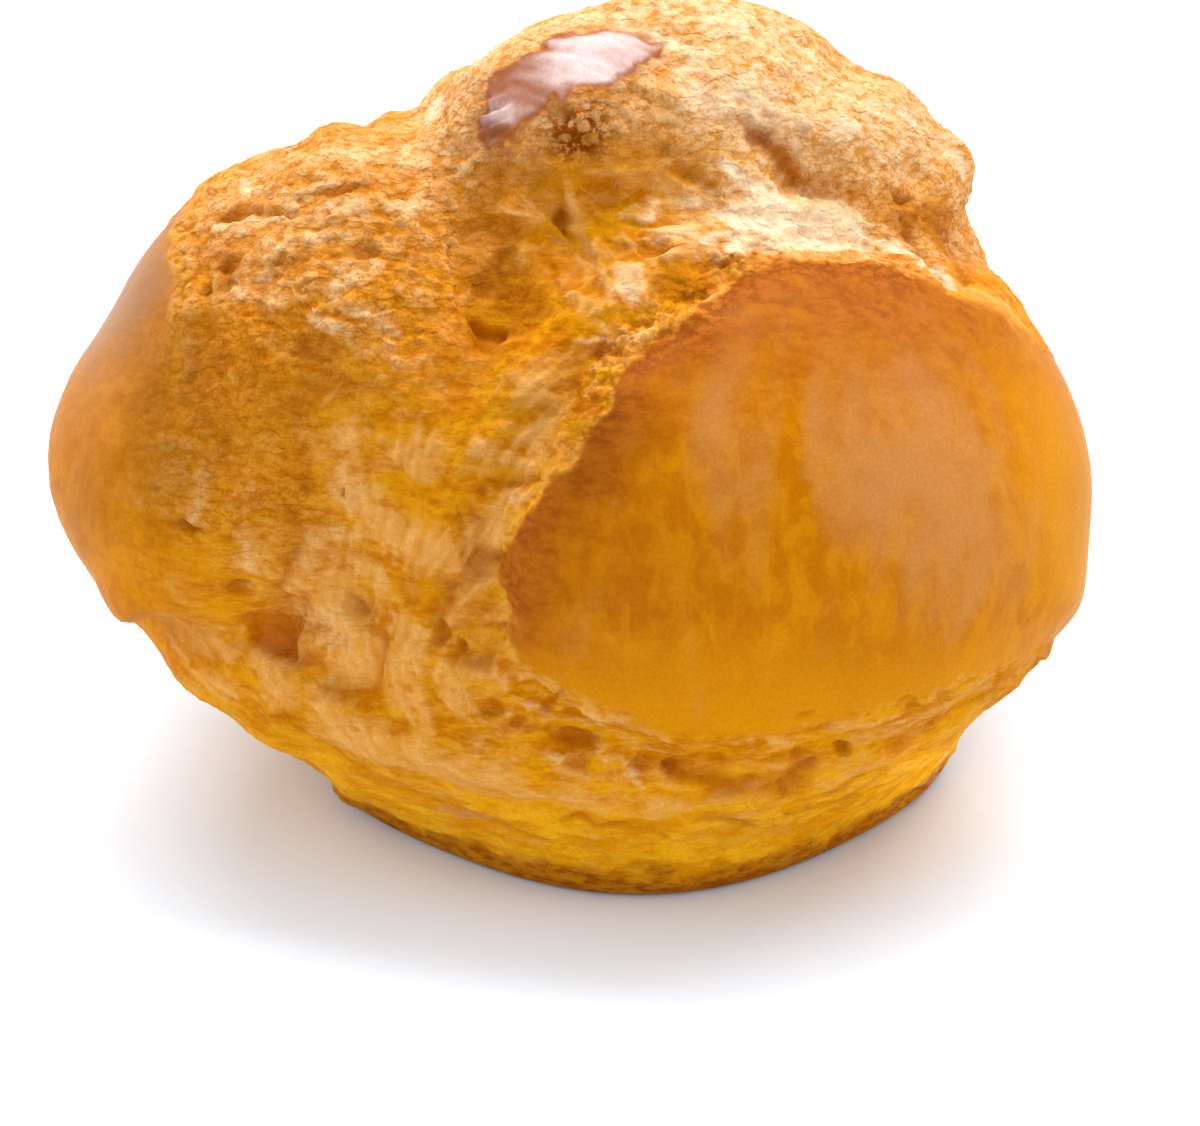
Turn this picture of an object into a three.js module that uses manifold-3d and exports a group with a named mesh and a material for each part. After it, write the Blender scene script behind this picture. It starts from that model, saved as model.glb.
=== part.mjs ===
// A choux pastry shell: one uncut, baked puff that rests on a small flat foot.
// In the oven the dough swelled out of that foot in lobes, and where its skin tore the lobes are
// parted by creases and hollows. Millimetres, +Z up, seen from the front along +Y.
// Each named size below is measured before the shell is set down with its middle at the origin.

import * as THREE from 'three';
import { ImprovedNoise } from 'three/addons/math/ImprovedNoise.js';
import { mergeVertices } from 'three/addons/utils/BufferGeometryUtils.js';
import Module from 'manifold-3d';

// ---------------------------------------------------------------- driving sizes

// A point deep inside the crumb. Every ray that leaves it meets the crust once.
const HEART = new THREE.Vector3(-1, 0, 25);

// The lobes are ellipsoids: middle and radii in mm, tilt about X, Y and Z in degrees, and how
// craggy the torn crust is there, from 0 for a smooth browned skin to 1 for an open, sandy one.
const SOFT_LOBES = {
  core: { middle: [3.2, -3.0, 22.8], radii: [29.1, 24.6, 22.1], tilt: [0, 0, 0], craggy: 0.4 },
  skirt: { middle: [-8.4, -2.0, 14.4], radii: [27.6, 22.7, 12.9], tilt: [0, 0, 0], craggy: 0.6 },
  left: { middle: [-26.5, -2.0, 24.2], radii: [16.6, 16.4, 13.0], tilt: [-1, 12, -2], craggy: 0.3 },
  shoulder: { middle: [-17.1, 3.1, 30.8], radii: [21.2, 19.9, 16.6], tilt: [0, 4, 0], craggy: 1 },
  hump: { middle: [-5.0, 5.7, 40.6], radii: [12.6, 11.2, 14.2], tilt: [0, 0, 0], craggy: 0.8 },
  crown: { middle: [5.7, 10.5, 40.2], radii: [19.2, 14.2, 14.0], tilt: [0, 18, 2], craggy: 1 },
  crownBack: { middle: [1.0, 15.5, 36.0], radii: [19.0, 15.0, 15.0], tilt: [0, 6, 0], craggy: 0.9 },
  flank: { middle: [8.0, 5.9, 24.4], radii: [17.5, 21.8, 17.4], tilt: [0, 0, 0], craggy: 0.6 },
};
const SOFT_BLEND = 1.6;

// Lobes whose skin stayed whole stand out of the torn crust with a crisp edge.
const CRISP_LOBES = {
  dome: { middle: [4.8, -5.4, 23.4], radii: [26.8, 22.4, 20.8], tilt: [3, -3, 8], craggy: 0 },
  backDome: { middle: [8.5, 11.5, 21.0], radii: [22.5, 22.5, 17.0], tilt: [0, 6, -14], craggy: 0.1 },
  backLeft: { middle: [-17.0, 11.5, 20.0], radii: [20.0, 19.0, 15.0], tilt: [0, -4, 12], craggy: 0.3 },
  backTop: { middle: [-10.0, 17.0, 33.0], radii: [15.0, 12.5, 13.0], tilt: [0, 0, 0], craggy: 0.8 },
};
const CRISP_BLEND = 0.8;

// The foot is what touched the baking tray: a wavy oval that widens upwards by flare mm per mm,
// until it fades out inside the lobes above it.
const FOOT = {
  middle: [-0.4, -0.5],
  radii: [22.8, 19.3],
  waves: [
    { count: 2, height: 0.6, crest: -125 },
    { count: 3, height: 0.6, crest: -85 },
    { count: 4, height: 0.5, crest: 0 },
  ],
  flare: 0.36,
  fadeStart: 8,
  fadeEnd: 17,
  fadeShare: 0.4,
};

// Hollows torn into the soft lobes, round the crisp ones too. Each runs through points of azimuth
// and elevation as seen from the heart, in degrees, and has a depth and a half-width in mm at each.
// A knob is a hollow with a depth below 0.
const HOLLOWS = {
  crownValley: [[-160, 60, 1.5, 3], [-140, 53, 3.2, 3.2], [-127, 43, 4.2, 3], [-121, 31, 1.2, 3]],
  valleyFold: [[-140, 72, 1.2, 2], [-93, 57, 1.6, 2.2], [-60, 56, 0.8, 2]],
  topCrack: [[3, 73, 0.8, 1.6], [-2, 62, 1.8, 1.8], [0, 53, 1.8, 1.8], [0, 42, 0.8, 1.8]],
  sidePocket: [[-147, -6, 2.2, 2.4], [-145, -10, 3.2, 2.8], [-136, -13, 2.4, 2.6], [-128, -15, 1, 2.2]],
  leftNotch: [[-172, -14, 1.4, 2.2], [-160, -13, 1.8, 2], [-148, -12, 1.8, 2]],
  domeEdge: [[-113, 0, 1.4, 2.6], [-113, 17, 2.2, 3], [-102, 40, 2.2, 3], [-75, 55, 2, 2.6]],
  domeBrow: [[-52, 59, 1.6, 2.2], [-25, 57, 1.6, 2.2], [-10, 48, 1, 2.2]],
  beltTear: [[-105, -16, 1.4, 2.6], [-95, -23, 1.8, 2.8], [-82, -27, 1.8, 2.8], [-60, -25, 1.4, 2.6]],
  knob: [[19, 36, -1.2, 3]],
  backTear: [[78, 44, 1.6, 2.4], [98, 22, 2.8, 2.4], [104, 2, 3.2, 2.6], [112, -16, 2, 2.4]],
  backCrack: [[10, 30, 1.2, 2], [40, 24, 2.2, 2], [66, 26, 1.4, 2]],
  rightNotch: [[-8, -16, 1.2, 2.2], [14, -20, 2, 2.4], [40, -24, 1.4, 2.4]],
};

// Seams part the whole lobes from the torn crust round them, and cut both. Laid out as the hollows are.
const SEAMS = {
  domeLeft: [
    [-108, -10, 0.9, 1.9], [-113, 0, 1.4, 2], [-113.5, 9, 1.6, 2], [-112, 18, 1.7, 2],
    [-108, 28, 1.7, 2], [-101, 39, 1.6, 2], [-91, 46, 1.3, 2], [-74, 53.5, 1.1, 1.9],
  ],
  domeBrow: [[-54, 58.5, 0.8, 1.8], [-30, 58, 0.8, 1.8], [-12, 50.5, 0.9, 1.8], [-5, 40, 0.7, 1.8]],
  belt: [
    [-105, -15, 1.0, 1.7], [-95, -22, 1.3, 1.8], [-82, -26.5, 1.4, 1.8], [-70, -28, 1.4, 1.8],
    [-60, -25, 1.2, 1.8], [-50, -21.5, 1.0, 1.8], [-38, -21, 0.8, 1.8],
  ],
  backSeam: [[12, 44, 0.8, 2], [40, 32, 1.2, 2], [66, 30, 1.4, 2], [86, 22, 1.4, 2]],
  backSplit: [[92, 18, 1.2, 2], [103, 4, 1.6, 2.2], [110, -12, 1.2, 2]],
  backCap: [[112, 30, 0.9, 2], [132, 24, 1.2, 2], [152, 28, 0.9, 2]],
};

// Crags: waves of broken crust, by how wide and how high they are in mm.
const CRAGS = [
  { width: 9, height: 1.2 },
  { width: 4.6, height: 0.8 },
];

// How finely the crust is cut into triangles: each side of the first 20 in SKIN_STEPS.
const SKIN_STEPS = 24;

// The base is cut flat below the heart, and no corner lies closer to the cut than CUT_CLEARANCE.
const CUT_DEPTH = 3;
const CUT_CLEARANCE = 0.35;

const CRUST = { color: 0xd9973f, roughness: 0.55, metalness: 0 };

// ---------------------------------------------------------------- small helpers

function turnOf(tilt) {
  const [x, y, z] = tilt.map(THREE.MathUtils.degToRad);
  return new THREE.Quaternion().setFromEuler(new THREE.Euler(x, y, z, 'ZYX'));
}

// A unit vector from an azimuth about +Z, where 0 is +X, and an elevation.
function rayAt(azimuth, elevation) {
  const polar = THREE.MathUtils.degToRad(90 - elevation);
  const around = THREE.MathUtils.degToRad(azimuth);
  return new THREE.Vector3(
    Math.sin(polar) * Math.cos(around),
    Math.sin(polar) * Math.sin(around),
    Math.cos(polar),
  );
}

// The larger of several lengths, rounded over where they are close.
function blendLargest(lengths, softness) {
  const largest = Math.max(...lengths);
  const sum = lengths.reduce((total, length) => total + Math.exp((length - largest) / softness), 0);
  return largest + softness * Math.log(sum);
}

// ---------------------------------------------------------------- lobes

// An ellipsoid that knows how far a ray from the heart runs before it leaves the crust there.
class Lobe {
  constructor({ middle, radii, tilt, craggy }) {
    const place = new THREE.Matrix4().compose(
      new THREE.Vector3(...middle),
      turnOf(tilt),
      new THREE.Vector3(...radii),
    );
    this.toUnitBall = place.invert();
    this.turnToUnitBall = new THREE.Matrix3().setFromMatrix4(this.toUnitBall);
    this.heart = HEART.clone().applyMatrix4(this.toUnitBall);
    this.craggy = craggy;
  }

  reach(ray) {
    const step = ray.clone().applyMatrix3(this.turnToUnitBall);
    const along = step.dot(this.heart);
    const size = step.lengthSq();
    const under = along * along - size * (this.heart.lengthSq() - 1);
    return under > 0 ? Math.max((Math.sqrt(under) - along) / size, 0) : 0;
  }
}

const softLobes = Object.values(SOFT_LOBES).map((sizes) => new Lobe(sizes));
const crispLobes = Object.values(CRISP_LOBES).map((sizes) => new Lobe(sizes));

// ---------------------------------------------------------------- foot

// How much wider than its plain oval the foot is at an azimuth and a height.
function footSwell(azimuth, height) {
  const wave = FOOT.waves.reduce(
    (sum, { count, height: size, crest }) =>
      sum + size * Math.cos(count * (azimuth - THREE.MathUtils.degToRad(crest))),
    0,
  );
  return 1 + (wave + FOOT.flare * height) / FOOT.radii[0];
}

// The reach of a downward ray to the foot's side. Each pass uses the outline where the last one met it.
function footReach(ray) {
  if (ray.z >= 0) return 0;
  const passes = 12;
  let swell = 1;
  let reach = 0;
  for (let pass = 0; pass < passes; pass++) {
    const [wide, deep] = FOOT.radii.map((radius) => radius * swell);
    const heartX = (HEART.x - FOOT.middle[0]) / wide;
    const heartY = (HEART.y - FOOT.middle[1]) / deep;
    const stepX = ray.x / wide;
    const stepY = ray.y / deep;
    const size = stepX * stepX + stepY * stepY + 1e-9;
    const along = heartX * stepX + heartY * stepY;
    const under = along * along - size * (heartX * heartX + heartY * heartY - 1);
    reach = (Math.sqrt(Math.max(under, 0)) - along) / size;
    const x = HEART.x + reach * ray.x - FOOT.middle[0];
    const y = HEART.y + reach * ray.y - FOOT.middle[1];
    const height = THREE.MathUtils.clamp(HEART.z + reach * ray.z, 0, FOOT.fadeEnd);
    swell = footSwell(Math.atan2(y, x), height);
  }
  const height = HEART.z + reach * ray.z;
  return reach * (1 - FOOT.fadeShare * THREE.MathUtils.smoothstep(height, FOOT.fadeStart, FOOT.fadeEnd));
}

// ---------------------------------------------------------------- the crust

// The soft lobes and the foot along a ray: how far out they reach, and how craggy they are there.
function softCrust(ray) {
  const reaches = softLobes.map((lobe) => lobe.reach(ray));
  const reach = blendLargest([...reaches, footReach(ray)], SOFT_BLEND);
  const craggy = softLobes.reduce(
    (sum, lobe, index) => sum + lobe.craggy * Math.exp((reaches[index] - reach) / SOFT_BLEND),
    0,
  );
  return { reach, craggy };
}

function pointAlong(ray, reach) {
  return HEART.clone().addScaledVector(ray, reach);
}

// A hollow's or seam's route laid on the soft crust, as points with a depth and a half-width.
function layRoute(route) {
  return route.map(([azimuth, elevation, depth, halfWidth]) => {
    const ray = rayAt(azimuth, elevation);
    return { place: pointAlong(ray, softCrust(ray).reach), depth, halfWidth };
  });
}

const hollows = Object.values(HOLLOWS).map(layRoute);
const seams = Object.values(SEAMS).map(layRoute);

// How deep one of them is at a point of the crust: full depth on its route, fading out beside it.
function routeDepth(route, point) {
  const nearest = { gap: Infinity, depth: 0, halfWidth: 1 };
  const ends = route.length > 1 ? route.slice(1) : route;
  ends.forEach((end, index) => {
    const start = route[index];
    const line = new THREE.Line3(start.place, end.place);
    const share = route.length > 1 ? line.closestPointToPointParameter(point, true) : 0;
    const gap = line.at(share, new THREE.Vector3()).distanceTo(point);
    if (gap < nearest.gap) {
      nearest.gap = gap;
      nearest.depth = THREE.MathUtils.lerp(start.depth, end.depth, share);
      nearest.halfWidth = THREE.MathUtils.lerp(start.halfWidth, end.halfWidth, share);
    }
  });
  return nearest.depth * Math.exp(-((nearest.gap / nearest.halfWidth) ** 2));
}

// How deep several of them are together.
function depthOf(routes, point) {
  return routes.reduce((sum, route) => sum + routeDepth(route, point), 0);
}

const noise = new ImprovedNoise();

function cragHeight(point) {
  return CRAGS.reduce(
    (sum, { width, height }) =>
      sum + height * noise.noise(point.x / width, point.y / width, point.z / width),
    0,
  );
}

// Where the finished crust lies along a ray: the soft lobes with their hollows and crags, the crisp
// ones over them, and the seams cut into both. It runs on below the tray, for the flat cut.
function crustPoint(ray) {
  const soft = softCrust(ray);
  const smooth = pointAlong(ray, soft.reach);
  const torn = soft.reach + soft.craggy * cragHeight(smooth) - depthOf(hollows, smooth);
  const whole = crispLobes.map((lobe) => lobe.reach(ray) + lobe.craggy * cragHeight(smooth));
  const floor = ray.z < 0 ? (HEART.z + CUT_DEPTH) / -ray.z : Infinity;
  const crust = blendLargest([torn, ...whole], CRISP_BLEND) - depthOf(seams, smooth);
  const point = pointAlong(ray, Math.min(crust, floor));
  if (Math.abs(point.z) < CUT_CLEARANCE) point.z = Math.sign(point.z) * CUT_CLEARANCE;
  return point;
}

// A ball of even triangles, each corner of it pushed out to the crust.
function buildCrust() {
  const ball = new THREE.IcosahedronGeometry(1, SKIN_STEPS - 1);
  ball.deleteAttribute('normal');
  ball.deleteAttribute('uv');
  const skin = mergeVertices(ball, 1e-5);
  const corners = skin.getAttribute('position');
  const ray = new THREE.Vector3();
  for (let i = 0; i < corners.count; i++) {
    const point = crustPoint(ray.fromBufferAttribute(corners, i).normalize());
    corners.setXYZ(i, point.x, point.y, point.z);
  }
  return skin;
}

// ---------------------------------------------------------------- the flat foot

const wasm = await Module();
wasm.setup();

function solidOf(geometry) {
  const merged = mergeVertices(geometry, 1e-5);
  return new wasm.Manifold(
    new wasm.Mesh({
      numProp: 3,
      vertProperties: new Float32Array(merged.getAttribute('position').array),
      triVerts: new Uint32Array(merged.index.array),
    }),
  );
}

// Everything above the tray, as a block well larger than the shell.
function aboveTray() {
  const size = 200;
  const block = new THREE.BoxGeometry(size, size, size).translate(0, 0, size / 2);
  block.deleteAttribute('normal');
  block.deleteAttribute('uv');
  return block;
}

function geometryOf(solid) {
  const { vertProperties, triVerts } = solid.getMesh();
  return new THREE.BufferGeometry()
    .setAttribute('position', new THREE.BufferAttribute(vertProperties, 3))
    .setIndex(new THREE.BufferAttribute(triVerts, 1));
}

// Moves the shell so that it rests at height 0 with the middle of its outline at the origin.
function setDown(geometry) {
  geometry.computeBoundingBox();
  const { min, max } = geometry.boundingBox;
  return geometry.translate(-(min.x + max.x) / 2, -(min.y + max.y) / 2, -min.z);
}

function buildShell() {
  const solid = solidOf(buildCrust()).intersect(solidOf(aboveTray()));
  const geometry = setDown(geometryOf(solid));
  geometry.computeVertexNormals();
  const shell = new THREE.Mesh(geometry, new THREE.MeshStandardMaterial(CRUST));
  shell.name = 'choux_shell';
  return shell;
}

const group = new THREE.Group();
group.add(buildShell());

export default group;
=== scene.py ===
"""A baked choux pastry shell on a white table: its crust as fine relief, its looks and its light."""

import itertools
import math
from types import SimpleNamespace

import bpy
import numpy as np
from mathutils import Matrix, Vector


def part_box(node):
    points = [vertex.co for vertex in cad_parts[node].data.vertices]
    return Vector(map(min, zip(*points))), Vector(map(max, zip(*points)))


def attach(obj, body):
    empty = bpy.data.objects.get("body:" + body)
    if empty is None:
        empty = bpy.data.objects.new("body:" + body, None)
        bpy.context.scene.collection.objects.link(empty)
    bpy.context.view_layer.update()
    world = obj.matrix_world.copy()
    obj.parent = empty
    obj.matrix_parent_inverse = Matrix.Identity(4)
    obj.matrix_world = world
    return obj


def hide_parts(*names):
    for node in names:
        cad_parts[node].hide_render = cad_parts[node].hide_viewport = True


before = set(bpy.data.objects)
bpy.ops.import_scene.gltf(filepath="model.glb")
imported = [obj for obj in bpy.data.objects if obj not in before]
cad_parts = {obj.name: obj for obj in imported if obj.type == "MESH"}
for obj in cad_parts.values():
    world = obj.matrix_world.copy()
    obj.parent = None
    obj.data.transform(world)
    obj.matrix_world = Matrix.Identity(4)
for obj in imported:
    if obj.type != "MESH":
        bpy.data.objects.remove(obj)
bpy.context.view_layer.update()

SHELL = "choux_shell"
SLOT = "baked_crust"
MM = 0.001
SKIN_STEPS = 99

# Too little to matter, and farther than any part of the shell, in mm or pixels.
TINY = 1e-9
FAR_OFF = 400.0

# ------------------------------------------------------------------ the photo's camera, in mm and pixels

PHOTO_SIZE = (1200, 1126)
PIXELS_PER_MM = 13.76
CAMERA_TILT = math.radians(27)
CAMERA_DISTANCE = 480.0
LOOK_AT = np.array([-3.1, -3.7, 17.7])
SENSOR_WIDTH = 36.0

ACROSS = np.array([1.0, 0.0, 0.0])
UPWARD = np.array([0.0, math.sin(CAMERA_TILT), math.cos(CAMERA_TILT)])
ONWARD = np.array([0.0, math.cos(CAMERA_TILT), -math.sin(CAMERA_TILT)])
EYE = LOOK_AT - ONWARD * CAMERA_DISTANCE

# ------------------------------------------------------------------ the shell's form, as in the frame, in mm

HEART = np.array([-1.0, 0.0, 25.0])
RAY_LEAN = np.array([0.0, -0.27, 0.16])

# Lobes: middle, radii, tilt in degrees, how craggy.
SOFT_LOBES = {
    "core": ((3.2, -3.0, 22.8), (29.1, 24.6, 22.1), (0, 0, 0), 0.4),
    "skirt": ((-8.4, -2.0, 14.4), (27.6, 22.7, 12.9), (0, 0, 0), 0.6),
    "left": ((-26.5, -2.0, 24.2), (16.6, 16.4, 13.0), (-1, 12, -2), 0.3),
    "shoulder": ((-17.1, 3.1, 30.8), (21.2, 19.9, 16.6), (0, 4, 0), 1.0),
    "hump": ((-5.0, 5.7, 40.6), (12.6, 11.2, 14.2), (0, 0, 0), 0.8),
    "crown": ((5.7, 10.5, 40.2), (19.2, 14.2, 14.0), (0, 18, 2), 1.0),
    "crown_back": ((1.0, 15.5, 36.0), (19.0, 15.0, 15.0), (0, 6, 0), 0.9),
    "flank": ((8.0, 5.9, 24.4), (17.5, 21.8, 17.4), (0, 0, 0), 0.6),
}
SOFT_BLEND = 1.6
CRISP_LOBES = {
    "dome": ((4.8, -5.4, 23.4), (26.8, 22.4, 20.8), (3, -3, 8), 0.0),
    "back_dome": ((8.5, 11.5, 21.0), (22.5, 22.5, 17.0), (0, 6, -14), 0.1),
    "back_left": ((-17.0, 11.5, 20.0), (20.0, 19.0, 15.0), (0, -4, 12), 0.3),
    "back_top": ((-10.0, 17.0, 33.0), (15.0, 12.5, 13.0), (0, 0, 0), 0.8),
}
CRISP_BLEND = 0.8

FOOT_MIDDLE = (-0.4, -0.5)
FOOT_RADII = (22.8, 19.3)
FOOT_WAVES = ((2, 0.6, -125), (3, 0.6, -85), (4, 0.5, 0))
FOOT_FLARE = 0.36
FOOT_FADE = (8.0, 17.0, 0.4)
FOOT_ROUNDING = 0.45
# Rays that fall less than this per mm never meet the table.
TABLE_RAYS = 0.05

# Hollows in the soft lobes: points of azimuth and elevation in degrees, depth and half-width.
HOLLOWS = {
    "crown_valley": ((-160, 60, 1.5, 3), (-140, 53, 3.2, 3.2), (-127, 43, 4.2, 3), (-121, 31, 1.2, 3)),
    "valley_fold": ((-140, 72, 1.2, 2), (-93, 57, 1.6, 2.2), (-60, 56, 0.8, 2)),
    "top_crack": ((3, 73, 0.8, 1.6), (-2, 62, 1.8, 1.8), (0, 53, 1.8, 1.8), (0, 42, 0.8, 1.8)),
    "side_pocket": ((-147, -6, 2.2, 2.4), (-145, -10, 3.2, 2.8), (-136, -13, 2.4, 2.6), (-128, -15, 1, 2.2)),
    "left_notch": ((-172, -14, 1.4, 2.2), (-160, -13, 1.8, 2), (-148, -12, 1.8, 2)),
    "dome_edge": ((-113, 0, 1.4, 2.6), (-113, 17, 2.2, 3), (-102, 40, 2.2, 3), (-75, 55, 2, 2.6)),
    "dome_brow": ((-52, 59, 1.6, 2.2), (-25, 57, 1.6, 2.2), (-10, 48, 1, 2.2)),
    "belt_tear": ((-105, -16, 1.4, 2.6), (-95, -23, 1.8, 2.8), (-82, -27, 1.8, 2.8), (-60, -25, 1.4, 2.6)),
    "knob": ((19, 36, -1.2, 3),),
    "back_tear": ((78, 44, 1.6, 2.4), (98, 22, 2.8, 2.4), (104, 2, 3.2, 2.6), (112, -16, 2, 2.4)),
    "back_crack": ((10, 30, 1.2, 2), (40, 24, 2.2, 2), (66, 26, 1.4, 2)),
    "right_notch": ((-8, -16, 1.2, 2.2), (14, -20, 2, 2.4), (40, -24, 1.4, 2.4)),
}

# The same for seams, which cut the whole lobes too.
SEAMS = {
    "dome_left": ((-108, -10, 0.9, 1.9), (-113, 0, 1.4, 2), (-113.5, 9, 1.6, 2), (-112, 18, 1.7, 2),
                  (-108, 28, 1.7, 2), (-101, 39, 1.6, 2), (-91, 46, 1.3, 2), (-74, 53.5, 1.1, 1.9)),
    "dome_brow": ((-54, 58.5, 0.8, 1.8), (-30, 58, 0.8, 1.8), (-12, 50.5, 0.9, 1.8), (-5, 40, 0.7, 1.8)),
    "belt": ((-105, -15, 1.0, 1.7), (-95, -22, 1.3, 1.8), (-82, -26.5, 1.4, 1.8), (-70, -28, 1.4, 1.8),
             (-60, -25, 1.2, 1.8), (-50, -21.5, 1.0, 1.8), (-38, -21, 0.8, 1.8)),
    "back_seam": ((12, 44, 0.8, 2), (40, 32, 1.2, 2), (66, 30, 1.4, 2), (86, 22, 1.4, 2)),
    "back_split": ((92, 18, 1.2, 2), (103, 4, 1.6, 2.2), (110, -12, 1.2, 2)),
    "back_cap": ((112, 30, 0.9, 2), (132, 24, 1.2, 2), (152, 28, 0.9, 2)),
}

# Crags: bump size and rise.
CRAGS = ((9.0, 0.9), (4.6, 0.55))

# How the torn crust and its crumbs are drawn out, and the grain of the skins' edges.
TORN_STRETCH = np.array([0.5, 0.8, 1.3])
CRUMB_STRETCH = np.array([0.8, 0.9, 1.2])
EDGE_GRAIN = 0.9

# The halo of colour round a line, as a share of its width, and how far from a line its side is told, in mm.
HALO = 1.7
LINE_REACH = 3.0

# The fine ridges on the left of the glazed patch: the way across them and their gap, in pixels.
FINGER_WAY = np.array([0.35, 0.94])
FINGER_GAP = 12.0

# How much darker the back is painted, as shade against the strong light from behind, and the height of the
# finest grain in mm.
BACK_PAINTED_SHADE = 0.16
BUMP_HEIGHT = 0.35

# ------------------------------------------------------------------ what the photo shows, in its pixels

DOME_OUTLINE = (
    (514, 664), (505, 637), (510, 621), (502, 600), (499, 578), (498, 554), (509, 541), (519, 519),
    (533, 498), (541, 480), (565, 470), (578, 444), (597, 417), (611, 400), (610, 380), (627, 356),
    (660, 336), (690, 324), (706, 305), (722, 292), (740, 274), (762, 262), (802, 256), (859, 258),
    (897, 267), (935, 281), (966, 298), (1000, 316), (1040, 342), (1090, 380), (1120, 450), (1120, 580),
    (1080, 632), (1040, 655), (1000, 672), (950, 690), (900, 702), (860, 716), (800, 733), (740, 740),
    (675, 737), (648, 729), (594, 708), (562, 692), (535, 680),
)
LEFT_OUTLINE = (
    (240, 150), (203, 183), (187, 204), (175, 231), (172, 256), (179, 277), (179, 296), (168, 325),
    (161, 362), (156, 400), (153, 460), (158, 520), (172, 560), (190, 600), (205, 650), (100, 660),
    (20, 600), (10, 400), (60, 240), (160, 140),
)
GLAZE_OUTLINE = (
    (471, 128), (476, 111), (488, 92), (499, 74), (522, 62), (553, 46), (575, 36), (591, 28), (612, 30),
    (640, 36), (668, 48), (658, 62), (640, 68), (630, 78), (616, 88), (605, 98), (588, 97), (570, 95),
    (553, 100), (545, 108), (540, 116), (530, 126), (515, 134), (500, 140), (486, 143), (474, 137),
)
POCKET_OUTLINE = (
    (285, 590), (330, 585), (358, 600), (373, 620), (381, 645), (379, 680), (350, 684), (318, 676),
    (290, 650), (282, 615),
)
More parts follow.
